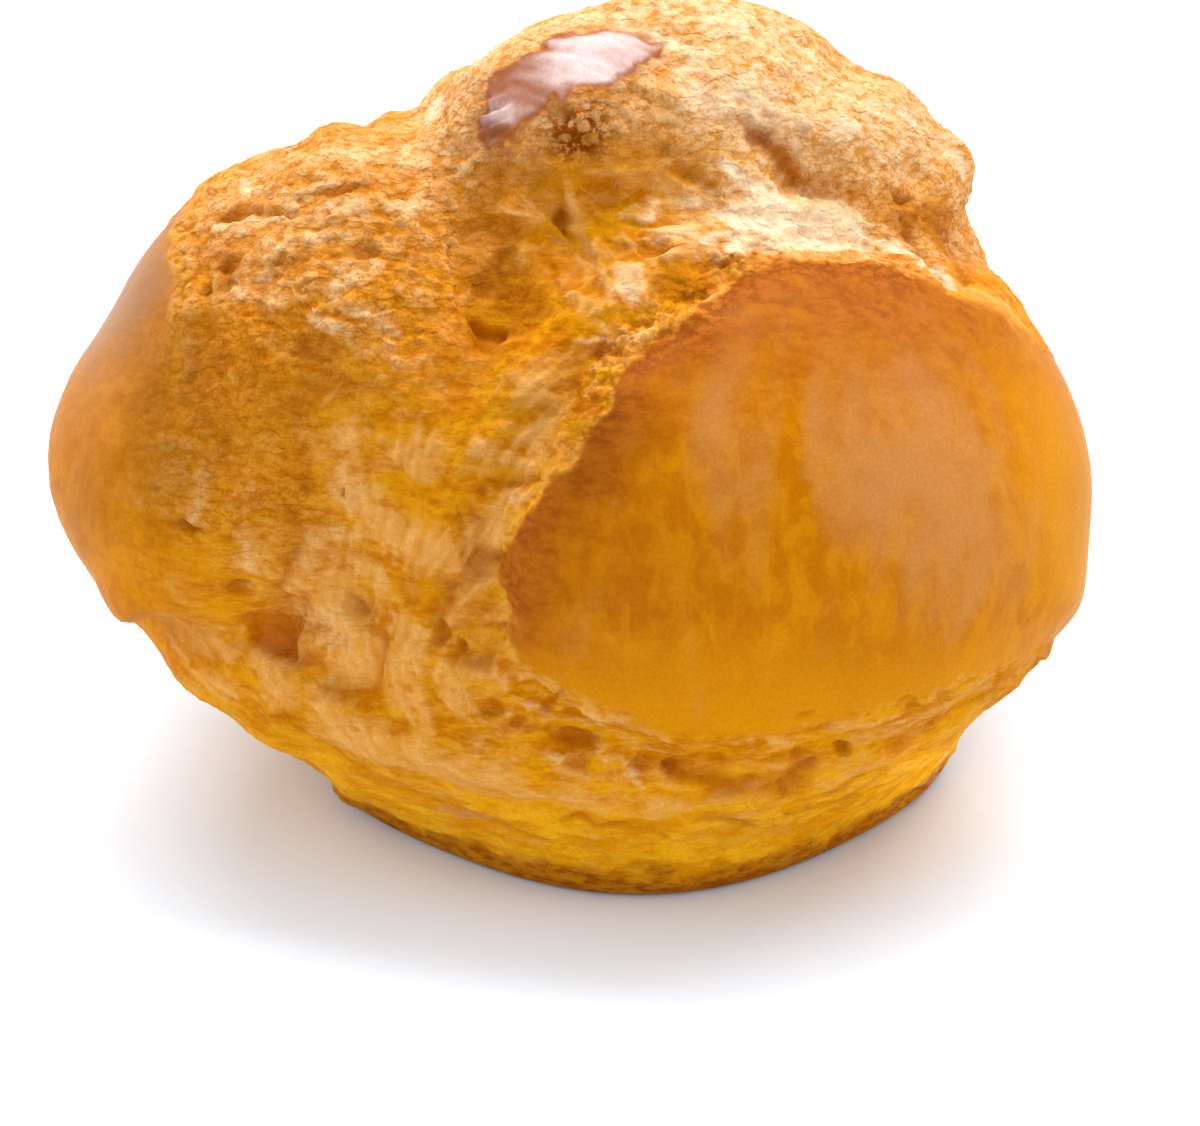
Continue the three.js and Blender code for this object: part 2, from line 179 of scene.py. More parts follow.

# Lines on the crust: height out of it in mm, half-width in mm, tint and path. The tint is pale above 0 and
# darker below: partly painted light on ridges and painted shade in grooves, partly toasting and pale crumb.
LINES = {
    "branch": (-0.8, 0.7, -0.7, ((498, 554), (482, 562), (460, 581), (439, 608), (434, 637))),
    "pocket_top": (-0.45, 0.6, -0.6, ((434, 640), (455, 626), (503, 624))),
    "pocket_low": (-0.5, 0.6, -0.8, ((456, 646), (471, 664), (500, 667))),
    "shelf": (-0.45, 0.5, -0.8, ((487, 482), (510, 485), (535, 479))),
    "shelf_lip": (0.35, 0.6, 0.6, ((490, 492), (512, 496), (530, 491))),
    "wrinkle_1": (-0.3, 0.4, -0.4, ((460, 514), (470, 534), (464, 554))),
    "wrinkle_2": (-0.3, 0.4, -0.4, ((474, 510), (484, 532), (479, 552))),
    "belt_arc": (-1.0, 0.7, -0.9, ((668, 765), (686, 772), (711, 785), (750, 784), (775, 783), (800, 776),
                                   (811, 761))),
    "belt_arc_in": (-0.6, 0.5, -0.8, ((793, 747), (798, 761), (785, 775))),
    "belt_string": (0.45, 0.5, 0.6, ((621, 758), (632, 778), (643, 792))),
    "belt_bridge": (0.4, 0.5, 0.5, ((598, 740), (612, 755), (606, 772))),
    "belt_fold": (0.4, 0.8, 0.5, ((520, 700), (560, 716), (610, 733), (660, 748))),
    "low_slits": (-0.6, 0.4, -0.9, ((564, 822), (577, 817), (600, 826), (620, 826), (645, 829), (664, 836))),
    "low_flap": (-0.4, 0.5, -0.6, ((686, 818), (720, 820), (755, 826))),
    "right_crease_1": (-0.4, 0.45, -0.6, ((786, 811), (830, 804), (857, 797), (886, 783))),
    "right_crease_2": (-0.35, 0.45, -0.5, ((800, 798), (850, 787), (880, 770))),
    "right_crease_3": (-0.35, 0.45, -0.5, ((880, 752), (905, 742), (935, 718))),
    "skirt_fold_1": (0.35, 1.0, 0.3, ((330, 706), (392, 742), (470, 768), (560, 802), (650, 812))),
    "skirt_fold_2": (-0.35, 0.8, -0.4, ((300, 735), (360, 772), (440, 806), (540, 838))),
    "skirt_slit": (-0.6, 0.4, -1.0, ((273, 719), (286, 717), (300, 722))),
    "diagonal_crack": (-0.5, 0.6, -0.6, ((287, 256), (268, 276), (258, 305), (277, 322))),
    "left_crease": (-0.7, 0.6, -0.7, ((287, 508), (298, 540), (290, 570), (275, 590))),
    "left_crease_2": (-0.5, 0.5, -0.5, ((300, 439), (303, 460), (310, 478), (308, 490))),
    "upper_crease_1": (-0.4, 0.5, -0.5, ((363, 153), (393, 138))),
    "upper_crease_2": (-0.45, 0.5, -0.6, ((313, 197), (345, 192), (372, 187))),
    "step_line": (-0.7, 0.6, -0.8, ((214, 212), (245, 206), (287, 212))),
    "step_bar": (0.2, 0.7, 0.5, ((212, 221), (245, 217), (288, 222))),
    "bright_line": (0.15, 0.5, 0.4, ((308, 315), (329, 324), (350, 328))),
    "yellow_edge_1": (0.4, 0.5, 0.4, ((349, 332), (348, 357))),
    "yellow_edge_2": (0.4, 0.6, 0.4, ((335, 389), (322, 402), (316, 428))),
    "lobe_ridge": (0.35, 0.6, 0.5, ((224, 172), (203, 183), (187, 204), (175, 231), (173, 256), (180, 277),
                                    (178, 296), (168, 325))),
    "top_crack": (-0.7, 0.6, -0.8, ((744, 126), (765, 143), (785, 164), (798, 178))),
    # A painted shadow on the slope below the top crack.
    "shadow_slope": (-0.5, 1.1, -0.7, ((800, 180), (825, 196), (850, 200))),
    "right_fold_1": (-0.4, 0.6, -0.4, ((901, 214), (925, 250), (945, 291))),
    "right_fold_2": (-0.4, 0.6, -0.4, ((928, 205), (950, 248), (966, 285))),
    "string": (0.75, 0.5, 0.5, ((563, 164), (571, 191), (579, 217), (596, 238), (602, 262), (610, 299),
                                (610, 311))),
    "fold_1": (0.6, 0.55, 0.45, ((545, 168), (575, 173), (605, 174), (640, 170), (668, 162))),
    "fold_2": (0.45, 0.55, 0.4, ((620, 181), (644, 175), (675, 178), (706, 201))),
    "fibre_1": (0.5, 0.4, 0.4, ((502, 205), (522, 213), (542, 227), (559, 248))),
    "fibre_2": (0.35, 0.4, 0.3, ((528, 201), (547, 217), (575, 250), (583, 266))),
    "slit": (-0.8, 0.4, -1.0, ((560, 214), (566, 228))),
    "string_2": (0.4, 0.4, 0.35, ((612, 246), (621, 231), (632, 248))),
    "bright_fold_1": (0.5, 0.7, 0.8, ((625, 214), (645, 206), (668, 201), (695, 201))),
    "bright_fold_2": (0.5, 0.7, 0.8, ((645, 231), (675, 227), (706, 228), (738, 232))),
    "clump_rim": (0.5, 0.6, 0.65, ((653, 268), (672, 253), (704, 245), (722, 262))),
    "string_3": (0.4, 0.45, 0.35, ((571, 295), (590, 306), (606, 317), (624, 333))),
    "bowl_rim": (0.5, 0.9, 0.2, ((430, 196), (418, 225), (414, 256))),
    "pit_rim_1": (0.35, 0.5, 0.6, ((470, 700), (480, 718), (500, 722), (512, 708))),
    "pit_rim_2": (0.4, 0.5, 0.5, ((546, 754), (566, 758), (590, 750), (604, 738))),
    "pocket_arc": (-0.5, 0.5, -0.5, ((352, 597), (369, 617), (380, 640), (381, 662), (377, 685), (350, 690),
                                     (325, 690))),
    "mass_edge": (0.35, 0.7, 0.3, ((205, 640), (240, 640), (262, 648), (283, 664), (305, 680), (330, 690))),
    "flake_edge": (0.5, 0.6, -0.3, ((660, 4), (700, 2), (745, 8), (790, 22))),
    "flake_edge_2": (0.35, 0.6, -0.4, ((800, 32), (840, 40), (870, 58))),
}

# Spots: middle, radii and turn in the photo, height in mm, then tint (pale above 0, toasted below, and in a
# hollow mostly a darker, warmer painted shade).
SPOTS = {
    "hole_big": (577, 740, 20, 9, 8, -0.6, -0.8),
    "hole_low": (576, 761, 15, 8, 0, -0.8, -0.7),
    "hole_round": (640, 764, 14, 9, 0, -0.6, -0.6),
    "hole_right": (670, 769, 8, 6, 0, -0.6, -0.7),
    "hole_v": (781, 790, 6, 8, 0, -0.8, -0.9),
    "hole_deep": (844, 747, 8, 8, 0, -0.9, -0.9),
    "dimple_1": (825, 726, 8, 5, 0, -0.4, -0.5),
    "dimple_2": (807, 715, 9, 4, -20, -0.4, -0.6),
    "dimple_3": (911, 704, 11, 8, 0, -0.5, -0.3),
    "dimple_4": (943, 697, 8, 9, 0, -0.6, -0.3),
    "pink_pit": (491, 706, 14, 12, 30, -0.7, -0.4),
    "pink_pit_2": (519, 721, 9, 5, 0, -0.5, -0.6),
    "pink_pit_3": (551, 701, 10, 4, -30, -0.4, -0.5),
    "pocket_pit": (240, 588, 10, 8, 0, -1.1, -0.8),
    "pocket_dot_1": (307, 606, 5, 5, 0, -0.4, -0.6),
    "pocket_dot_2": (345, 690, 6, 3, 0, -0.4, -0.9),
    "pocket_dot_3": (329, 697, 8, 4, 0, -0.2, -0.6),
    "slit_left": (188, 526, 13, 5, 20, -0.8, -1.0),
    "pit_left": (157, 488, 5, 7, 0, -0.4, -0.5),
    "spot_1": (224, 267, 9, 8, 0, -0.5, -0.7),
    "spot_2": (205, 290, 7, 6, 0, -0.5, -0.6),
    "spot_3": (346, 491, 4, 5, 0, -0.4, -0.7),
    "spot_4": (482, 490, 6, 6, 0, -0.3, -0.7),
    "overhang_pit": (905, 197, 9, 6, 0, -0.8, -0.7),
    "hollow_left": (367, 250, 15, 10, 0, -0.7, -0.4),
    "hollow_brown": (657, 247, 18, 9, -10, -0.8, -0.8),
    "brown_strip": (695, 180, 26, 8, 30, -0.25, -0.4),
    "yellow_hollow": (606, 193, 20, 18, 0, -0.6, -0.4),
    "patch_dark_1": (320, 344, 30, 18, 0, 0.0, -0.6),
    "patch_dark_2": (335, 386, 46, 13, 0, -0.1, -0.6),
    "patch_dark_3": (304, 398, 18, 16, 0, 0.0, -0.5),
    "patch_dark_4": (205, 360, 28, 60, 0, 0.0, -0.4),
    "patch_dark_5": (230, 250, 36, 30, 0, 0.0, -0.35),
    "patch_orange": (409, 589, 16, 14, 0, -0.1, -0.5),
    "patch_bright_1": (243, 183, 12, 9, 0, 0.2, 0.9),
    "patch_bright_2": (630, 286, 22, 26, 20, 0.2, 0.75),
    # A painted highlight where the crest catches the light, over pale crumb.
    "highlight_patch": (805, 220, 70, 30, 8, 0.0, 1.0),
    "bulge": (335, 630, 46, 32, 42, 0.8, 0.5),
    "knob_small": (1046, 650, 13, 8, -20, 0.5, 0.3),
}

# Hollows with corners: depth in mm and outline.
HOLES = {
    "triangle": (0.8, ((470, 314), (490, 318), (508, 324), (497, 342), (483, 360), (477, 340))),
    "bowl": (0.5, ((471, 280), (482, 276), (492, 283), (489, 295), (477, 298), (472, 290))),
    "pocket": (0.3, POCKET_OUTLINE),
    "pocket_core": (1.2, ((240, 618), (256, 611), (284, 617), (297, 634), (305, 672), (288, 664), (270, 651),
                          (251, 637))),
    "branch": (0.6, ((434, 640), (456, 627), (503, 626), (502, 664), (472, 662), (458, 648))),
    "belt_big": (0.7, ((544, 724), (560, 720), (585, 730), (604, 736), (600, 750), (584, 754), (572, 748),
                       (552, 744))),
    "belt_flap": (-0.5, ((722, 745), (745, 736), (790, 738), (797, 758), (780, 776), (745, 778), (722, 770))),
    "valley": (0.5, ((445, 225), (500, 210), (545, 240), (570, 290), (550, 325), (505, 345), (470, 330),
                     (445, 280))),
}

# Washes of colour: half-width in mm, strength and path. Pale ones are milky membranes and cream crumb.
PALE_WASHES = {
    "hook": (1.0, 0.9, ((345, 470), (358, 498), (380, 520), (402, 540), (432, 552), (462, 565))),
    "knot": (1.1, 0.8, ((404, 452), (422, 452), (430, 472))),
    "comma": (0.4, 0.9, ((465, 520), (471, 535), (468, 556))),
    "dome_side": (0.8, 0.9, ((528, 478), (505, 500), (495, 530), (488, 556))),
    "lens": (0.8, 1.0, ((478, 450), (500, 460), (532, 468))),
    "above_lens_1": (0.7, 0.8, ((505, 430), (535, 436), (562, 420))),
    "above_lens_2": (0.8, 0.7, ((512, 372), (530, 390), (548, 398))),
    "branch_side": (0.6, 0.8, ((497, 560), (480, 580), (465, 600), (448, 625))),
    "net_1": (0.7, 0.8, ((306, 532), (311, 555), (300, 580), (288, 596))),
    "net_2": (0.7, 0.7, ((328, 530), (350, 536), (366, 525))),
    "net_3": (0.6, 0.8, ((350, 555), (370, 565), (386, 592))),
    "net_4": (0.5, 0.7, ((336, 560), (325, 580), (314, 600))),
    "bulge": (1.9, 1.0, ((312, 608), (338, 628), (352, 652), (340, 676))),
    "column_1": (1.2, 0.8, ((400, 620), (406, 645), (395, 670), (405, 700), (432, 726))),
    "column_2": (1.0, 0.5, ((425, 660), (450, 690), (462, 716))),
    "fork": (0.5, 0.7, ((450, 665), (480, 672), (502, 680))),
    "dome_lip": (0.35, 0.9, ((510, 604), (511, 642))),
    "dome_foot": (0.5, 0.8, ((520, 676), (550, 690), (585, 710), (622, 722), (665, 737))),
    "speckle_1": (0.6, 0.7, ((206, 478), (195, 522))),
    "speckle_2": (0.7, 0.7, ((248, 538), (256, 568))),
    "beige_1": (1.1, 0.6, ((345, 428), (352, 452))),
    "skirt_1": (0.9, 0.95, ((170, 642), (200, 640), (238, 652))),
    "skirt_2": (0.8, 0.8, ((195, 675), (235, 692))),
    "skirt_3": (1.3, 1.0, ((264, 664), (285, 685), (305, 697))),
    "skirt_4": (1.6, 0.95, ((305, 702), (340, 725), (380, 745), (430, 756), (480, 775), (540, 790))),
    "skirt_5": (0.9, 0.55, ((540, 790), (600, 800), (650, 801), (730, 795))),
    "skirt_6": (0.3, 0.8, ((440, 810), (490, 822))),
    "skirt_7": (0.8, 0.8, ((556, 762), (588, 776))),
    "belt_1": (0.7, 0.8, ((735, 742), (760, 738), (795, 742))),
    "belt_2": (0.8, 0.5, ((820, 752), (880, 730), (950, 702), (1020, 668))),
    "belt_3": (0.8, 0.4, ((700, 802), (780, 795), (850, 775), (920, 742))),
    "belt_4": (0.6, 0.8, ((800, 722), (850, 725), (900, 712))),
    "cap_1": (2.0, 0.9, ((250, 168), (330, 160), (400, 148), (445, 122))),
    "cap_2": (1.0, 0.9, ((240, 190), (290, 200), (330, 185))),
    "terrace": (0.8, 1.0, ((213, 222), (245, 217), (292, 220))),
    "slope": (1.1, 0.9, ((325, 208), (380, 216), (425, 204))),
    "slope_2": (1.0, 0.9, ((300, 235), (340, 240), (390, 235))),
    "left_mid": (0.9, 0.7, ((250, 235), (272, 252), (262, 278))),
    "left_low": (0.7, 0.5, ((215, 292), (250, 290), (285, 300))),
    "patch_mid": (1.2, 1.0, ((335, 292), (358, 275), (378, 262))),
    "patch_low": (0.5, 0.8, ((345, 308), (380, 320), (402, 336))),
    "bright_line": (0.4, 0.7, ((308, 315), (330, 325), (352, 332))),
    "low_lines": (0.45, 0.6, ((352, 346), (385, 352), (402, 366), (425, 360))),
    "hump_band": (0.7, 0.5, ((450, 180), (500, 175), (548, 165))),
    "bowl_side": (0.6, 0.4, ((430, 215), (425, 242), (415, 270))),
    "hump_string": (0.4, 0.6, ((563, 164), (571, 200), (584, 235), (600, 255), (606, 290))),
    # The crest washes also paint the light where the crest catches it.
    "crest": (3.2, 1.0, ((700, 218), (760, 220), (820, 225), (880, 245))),
    "crest_left": (1.7, 1.0, ((735, 152), (762, 168), (782, 190))),
    "crest_right": (1.0, 0.9, ((880, 245), (930, 272), (985, 305), (1030, 335))),
    "streak_1": (0.5, 0.95, ((636, 216), (668, 206), (705, 205))),
    "streak_2": (0.5, 0.9, ((645, 242), (690, 233), (740, 235))),
    "streak_3": (0.5, 0.7, ((620, 186), (655, 178), (690, 190))),
    "clump_rim": (0.4, 0.9, ((650, 264), (680, 254), (714, 262), (723, 290))),
    "ridge": (0.35, 0.5, ((600, 345), (650, 336), (680, 315), (722, 297))),
    "ridge_blob": (0.9, 0.6, ((588, 338), (618, 342))),
    "snow": (1.0, 0.6, ((618, 272), (640, 284), (644, 298))),
    "snow_2": (0.6, 0.8, ((568, 298), (590, 316), (602, 332))),
    "top_1": (3.0, 0.7, ((560, 25), (640, 60), (720, 100), (800, 120))),
    "top_2": (3.0, 0.7, ((700, 30), (800, 70), (880, 120), (930, 170))),
    "top_3": (1.6, 0.7, ((430, 105), (490, 60), (560, 22))),
}
# Milky washes: whitish cream, mostly a painted highlight and sheen where the top, the crest and their edges
# catch the light, over pale crumb.
MILK_AND_HIGHLIGHT_WASHES = {
    "crest_1": (1.8, 1.0, ((735, 225), (800, 230), (860, 242))),
    "crest_4": (0.8, 0.8, ((702, 238), (740, 242), (790, 247))),
    "top_limb": (2.2, 0.4, ((560, 24), (640, 14), (720, 14), (800, 40), (850, 70))),
    "foot_right": (0.7, 0.5, ((885, 806), (925, 778), (952, 745))),
    "crest_2": (0.8, 0.9, ((725, 165), (755, 188), (795, 212), (850, 226))),
    "crest_3": (0.9, 0.8, ((860, 240), (910, 258), (950, 285))),
    "top_pale_1": (3.0, 0.45, ((560, 25), (640, 50), (740, 95), (840, 130))),
    "top_pale_2": (2.6, 0.45, ((700, 20), (800, 60), (880, 110))),
    "ridge_blob": (0.6, 0.4, ((588, 338), (618, 342))),
    "streak": (0.4, 0.6, ((636, 216), (668, 206), (705, 205))),
    "streak_2": (0.3, 0.5, ((645, 242), (690, 233), (740, 235))),
    "terrace": (0.5, 0.4, ((213, 222), (245, 217), (292, 220))),
    "lip": (0.35, 0.3, ((600, 345), (650, 336), (680, 315), (722, 297))),
    "top_left_1": (1.6, 0.6, ((430, 100), (480, 60), (550, 25))),
    "top_left_2": (1.6, 0.5, ((640, 30), (700, 60), (760, 110))),
    "right_edge": (1.2, 0.5, ((880, 90), (930, 130), (960, 170))),
}
ORANGE_WASHES = {
    "hump": (2.6, 0.6, ((470, 170), (530, 160), (600, 150), (680, 160))),
    "hump_left": (1.6, 0.6, ((450, 140), (460, 180), (470, 220))),
    "valley": (3.0, 0.7, ((470, 225), (500, 265), (515, 300), (490, 340))),
    "bowl": (1.4, 0.5, ((540, 230), (560, 260), (560, 290))),
    "left_patch_1": (1.3, 0.7, ((208, 245), (232, 262), (225, 280))),
    "left_patch_2": (0.9, 0.7, ((296, 258), (315, 268))),
    "left_dark": (2.6, 0.55, ((215, 320), (212, 400), (225, 470))),
    "left_dark_2": (2.2, 0.5, ((250, 340), (262, 380), (300, 420))),
    "middle_dark": (1.6, 0.5, ((300, 350), (320, 380), (345, 400))),
    "knee": (1.5, 0.5, ((400, 585), (430, 572), (450, 600))),
    "slit_1": (0.35, 0.8, ((322, 194), (358, 190), (392, 176))),
    "streak_gap_1": (0.5, 0.7, ((612, 250), (650, 245), (680, 246))),
    "streak_gap_2": (0.6, 0.7, ((620, 168), (670, 166), (712, 184))),
    "clump": (1.9, 0.95, ((668, 284), (700, 276), (712, 290))),
    "brow": (1.2, 0.8, ((722, 270), (760, 262), (790, 262))),
    # Along the top crack the orange is also a painted shadow.
    "crack_1": (0.8, 0.8, ((748, 130), (775, 150), (797, 174))),
    "crack_2": (0.8, 0.5, ((800, 152), (828, 178), (850, 200))),
    "flank_1": (1.3, 0.8, ((890, 192), (915, 212), (948, 218))),
    "flank_2": (0.7, 0.85, ((938, 225), (950, 255), (964, 288))),
    "knob": (0.5, 0.7, ((955, 150), (958, 175))),
}

# How far the foot's front right edge is out of its lobe, in mm, and which way.
FOOT_PUSH = 0.9
FOOT_PUSH_WAY = np.array([0.45, -0.89])

# Small corrections of the outline: place in the photo, reach in pixels, rise out of the crust in mm.
TRIMS = {
    "right_top": (1006, 282, 40, 0.8),
    "knob": (957, 134, 30, 0.6),
    "crown_right": (845, 55, 48, -1.3),
    "notch": (415, 100, 32, -1.4),
    "peak": (331, 122, 28, 1.0),
    "foot_left": (343, 800, 20, 0.8),
    "shoulder_1": (291, 144, 30, -0.4),
    "shoulder_2": (244, 163, 45, -0.6),
    "shoulder_3": (190, 195, 30, -0.3),
    "left_low": (116, 606, 28, 1.0),
    "left_corner": (130, 614, 18, 1.2),
    "skirt_left": (228, 712, 42, -0.8),
    "skirt_low": (298, 765, 36, -0.7),
    "right_low": (1076, 606, 40, 0.8),
}

# How much lighter or darker the crust is painted, place by place: painted light and shade that is partly the
# crust's own tone. Place in the photo, half-widths in pixels, share of light.
LIGHT_AND_TONE_SHARES = {
    "left_mid": (160, 400, 45, 110, 0.69),
    "left_low": (85, 510, 45, 60, 0.95),
    "left_top": (185, 240, 28, 50, 0.88),
    "snow": (600, 270, 50, 35, 0.77),
    "ridge": (505, 385, 45, 55, 0.88),
    "hump_left": (450, 135, 28, 50, 0.90),
    "glaze": (595, 50, 50, 28, 0.88),
    "right_edge": (1090, 450, 32, 120, 0.88),
    "crack": (792, 180, 30, 20, 1.14),
    "middle": (470, 430, 90, 70, 0.92),
    "hump": (560, 170, 80, 60, 0.92),
    "flank": (920, 200, 40, 35, 1.20),
    "crest_left": (735, 245, 42, 16, 1.03),
    "belt_right": (800, 760, 60, 30, 1.08),
    "low_right": (900, 800, 60, 40, 1.08),
    "pocket": (268, 634, 26, 20, 1.25),
    "rim_right": (930, 772, 45, 36, 1.24),
    "belt_middle": (620, 790, 160, 40, 1.09),
    "skirt": (380, 760, 120, 60, 1.03),
    "bulge": (345, 665, 32, 26, 1.12),
    "dome_rim": (585, 440, 45, 60, 0.80),
    "upper_left": (330, 230, 110, 70, 0.92),
    "rough_dark": (240, 370, 60, 60, 0.93),
    "crown_right": (925, 125, 45, 50, 0.86),
}

# Soft ovals on the whole skins: middle and half-widths in pixels, and 3 for a flatter middle. The dome's
# pinkish ovals are a painted reflection of the lights, the left lobe's sheen and grey ovals a painted
# reflection at its edge, and the glazed patch's two ovals a painted highlight.
SKIN_OVALS = {
    "dome_low": (600, 575, 110, 110),
    "reflection_and_tone": (915, 480, 125, 165, 3),
    "reflection_top": (735, 420, 60, 140),
    "reflection_left": (640, 450, 45, 90),
    "reflection_gap": (850, 580, 60, 50),
    "left_toast": (160, 400, 38, 110),
    "sheen_low": (72, 500, 34, 80),
    "grey_sheen_left": (115, 300, 70, 95),
    "shine": (592, 64, 60, 42),
    "glint": (500, 112, 22, 12),
}

# Ways that the fibres of torn crust run, as strokes in the photo.
FLOWS = (
    ((380, 700), (450, 755), (560, 800), (680, 815), (800, 795), (900, 750), (960, 700)),
    ((180, 650), (260, 720), (340, 770), (430, 815), (560, 850), (700, 862), (850, 820)),
    ((500, 520), (470, 560), (430, 600), (400, 650), (390, 700)),
    ((570, 320), (520, 355), (480, 385), (440, 430), (420, 500)),
    ((560, 240), (520, 290), (480, 345)),
    ((565, 170), (585, 230), (610, 300)),
    ((620, 220), (680, 212), (760, 225), (850, 235), (930, 270)),
    ((200, 220), (290, 215), (380, 190), (440, 150)),
    ((330, 350), (430, 345)),
    ((190, 260), (195, 400), (220, 520), (260, 620)),
    ((340, 430), (360, 520), (350, 600)),
    ((740, 310), (725, 480), (740, 690)),
    ((960, 330), (1010, 450), (980, 620)),
    ((100, 330), (75, 450), (120, 580)),
    ((560, 60), (700, 120), (840, 190), (960, 265)),
    ((700, 25), (830, 90), (940, 165)),
    ((890, 260), (970, 300), (1040, 360)),
)

# ------------------------------------------------------------------ small helpers


def ramp(values, low, high):
    """0 at `low`, 1 at `high` and smooth between them; `low` may be the larger."""
    share = np.clip((values - low) / (high - low), 0.0, 1.0)
    return share * share * (3.0 - 2.0 * share)


def blend_largest(lengths, softness):
    """The largest of several lengths, with smooth corners where it changes over."""
    lengths = np.asarray(lengths)
    largest = lengths.max(0)
    return largest + softness * np.log(np.exp((lengths - largest) / softness).sum(0))


def lattice_gradient(cell, seed):
    """A fixed pseudo-random vector for each lattice cell."""
    x, y, z = (cell[:, i].astype(np.uint32) for i in range(3))
    mixed = x * np.uint32(374761393) + y * np.uint32(668265263) + z * np.uint32(2147483647)
    mixed = mixed + np.uint32(seed * 2654435761 % 2**32)
    parts = []
    for shift in (13, 11, 15):
        mixed = (mixed ^ (mixed >> np.uint32(shift))) * np.uint32(1274126177)
        parts.append((mixed >> np.uint32(8)).astype(float) / 2.0**23 - 1.0)
    return np.stack(parts, 1)


def noise(points, size, seed):
    """Gradient noise of about -1 to 1, with bumps about `size` apart."""
    scaled = points / size + 97.0
    cell = np.floor(scaled).astype(np.int64)
    inside = scaled - cell
    fade = inside**3 * (inside * (inside * 6.0 - 15.0) + 10.0)
    total = np.zeros(len(points))
    for corner in itertools.product((0, 1), repeat=3):
        offset = np.array(corner)
        weight = np.where(offset, fade, 1.0 - fade).prod(1)
        total += weight * ((inside - offset) * lattice_gradient(cell + offset, seed)).sum(1)
    return total * 1.5


def layered_noise(points, size, layers, seed):
    total = np.zeros(len(points))
    for layer in range(layers):
        total += noise(points, size / 2.0**layer, seed + layer) / 2.0**layer
    return total


def billow(points, size, layers, seed):
    """Rounded crumbs with sharp valleys between them, about -0.5 to 0.5."""
    total = np.zeros(len(points))
    for layer in range(layers):
        total += (np.abs(noise(points, size / 2.0**layer, seed + layer)) * 2.0 - 0.5) / 2.0**layer
    return total


def webs(points, size, layers, seed):
    """Thin raised strands with wide hollows between them, about -0.5 to 0.5."""
    total = np.zeros(len(points))
    for layer in range(layers):
        strand = 1.0 - np.minimum(np.abs(noise(points, size / 2.0**layer, seed + layer)) * 2.2, 1.0)
        total += (strand * strand - 0.4) / 1.8**layer
    return total


def bubbles(points, size, share, seed):
    """Round hollows about `size` apart, in this share of the places: 1 in their middles, 0 outside."""
    scaled = points / size + 61.0
    cell = np.floor(scaled).astype(np.int64)
    deepest = np.zeros(len(points))
    for corner in itertools.product((-1, 0, 1), repeat=3):
        at = cell + np.array(corner)
        middle = at + 0.5 + 0.35 * lattice_gradient(at, seed)
        luck = lattice_gradient(at, seed + 50)
        radius = np.where(luck[:, 0] < share * 2.0 - 1.0, 0.34 + 0.2 * luck[:, 1], 1e-6)
        bowl = 1.0 - ((scaled - middle) ** 2).sum(1) / radius**2
        deepest = np.maximum(deepest, bowl)
    return deepest


# ------------------------------------------------------------------ rays and crust


def sphere_mesh(steps):
    """Unit directions and triangles of a ball: the 20 faces of an icosahedron in `steps` each way."""
    golden = (1.0 + math.sqrt(5.0)) / 2.0
    signs = (-1.0, 1.0)
    base = [(0, a, b * golden) for a in signs for b in signs]
    base += [(a, b * golden, 0) for a in signs for b in signs]
    base += [(b * golden, 0, a) for a in signs for b in signs]
    base = np.array(base, float)
    near = np.linalg.norm(base[:, None] - base[None], axis=2) < 2.1
    faces = [
        trio for trio in itertools.combinations(range(12), 3)
        if near[trio[0], trio[1]] and near[trio[1], trio[2]] and near[trio[0], trio[2]]
    ]
    rows, columns = np.meshgrid(np.arange(steps + 1), np.arange(steps + 1), indexing="ij")
    keep = rows + columns <= steps
    rows, columns = rows[keep], columns[keep]
    slot = -np.ones((steps + 2, steps + 2), int)
    slot[rows, columns] = np.arange(len(rows))
    points, triangles = [], []
    for number, (a, b, c) in enumerate(faces):
        if np.dot(np.cross(base[b] - base[a], base[c] - base[a]), base[a]) < 0:
            b, c = c, b
        third = steps - rows - columns
        corners = base[a] * third[:, None] + base[b] * rows[:, None] + base[c] * columns[:, None]
        points.append(corners / steps)
        first = number * len(rows)
        up = rows + columns < steps
        i, j = rows[up], columns[up]
        triangles.append(first + np.stack([slot[i, j], slot[i + 1, j], slot[i, j + 1]], 1))
        down = rows + columns < steps - 1
        i, j = rows[down], columns[down]
        triangles.append(first + np.stack([slot[i + 1, j], slot[i + 1, j + 1], slot[i, j + 1]], 1))
    points = np.concatenate(points)
    _, kept, merged = np.unique(np.round(points, 6), axis=0, return_index=True, return_inverse=True)
    points = points[kept]
    return points / np.linalg.norm(points, axis=1)[:, None], merged.ravel()[np.concatenate(triangles)]


def turn_of(tilt):
    """The turn about x, then y, then z, by angles in degrees."""
    x, y, z = np.radians(tilt)
    about_x = np.array([[1, 0, 0], [0, math.cos(x), -math.sin(x)], [0, math.sin(x), math.cos(x)]])
    about_y = np.array([[math.cos(y), 0, math.sin(y)], [0, 1, 0], [-math.sin(y), 0, math.cos(y)]])
    about_z = np.array([[math.cos(z), -math.sin(z), 0], [math.sin(z), math.cos(z), 0], [0, 0, 1]])
    return about_z @ about_y @ about_x


def lobe_reach(rays, middle, radii, tilt):
    """How far rays from the heart reach to an ellipsoid's far side."""
    turn = turn_of(tilt)
    start = turn.T @ (HEART - np.array(middle)) / np.array(radii)
    step = rays @ turn / np.array(radii)
    size = (step * step).sum(1)
    along = step @ start
    under = along * along - size * (start @ start - 1.0)
    return np.maximum(np.where(under > 0, (np.sqrt(np.maximum(under, 0)) - along) / size, 0), 0)


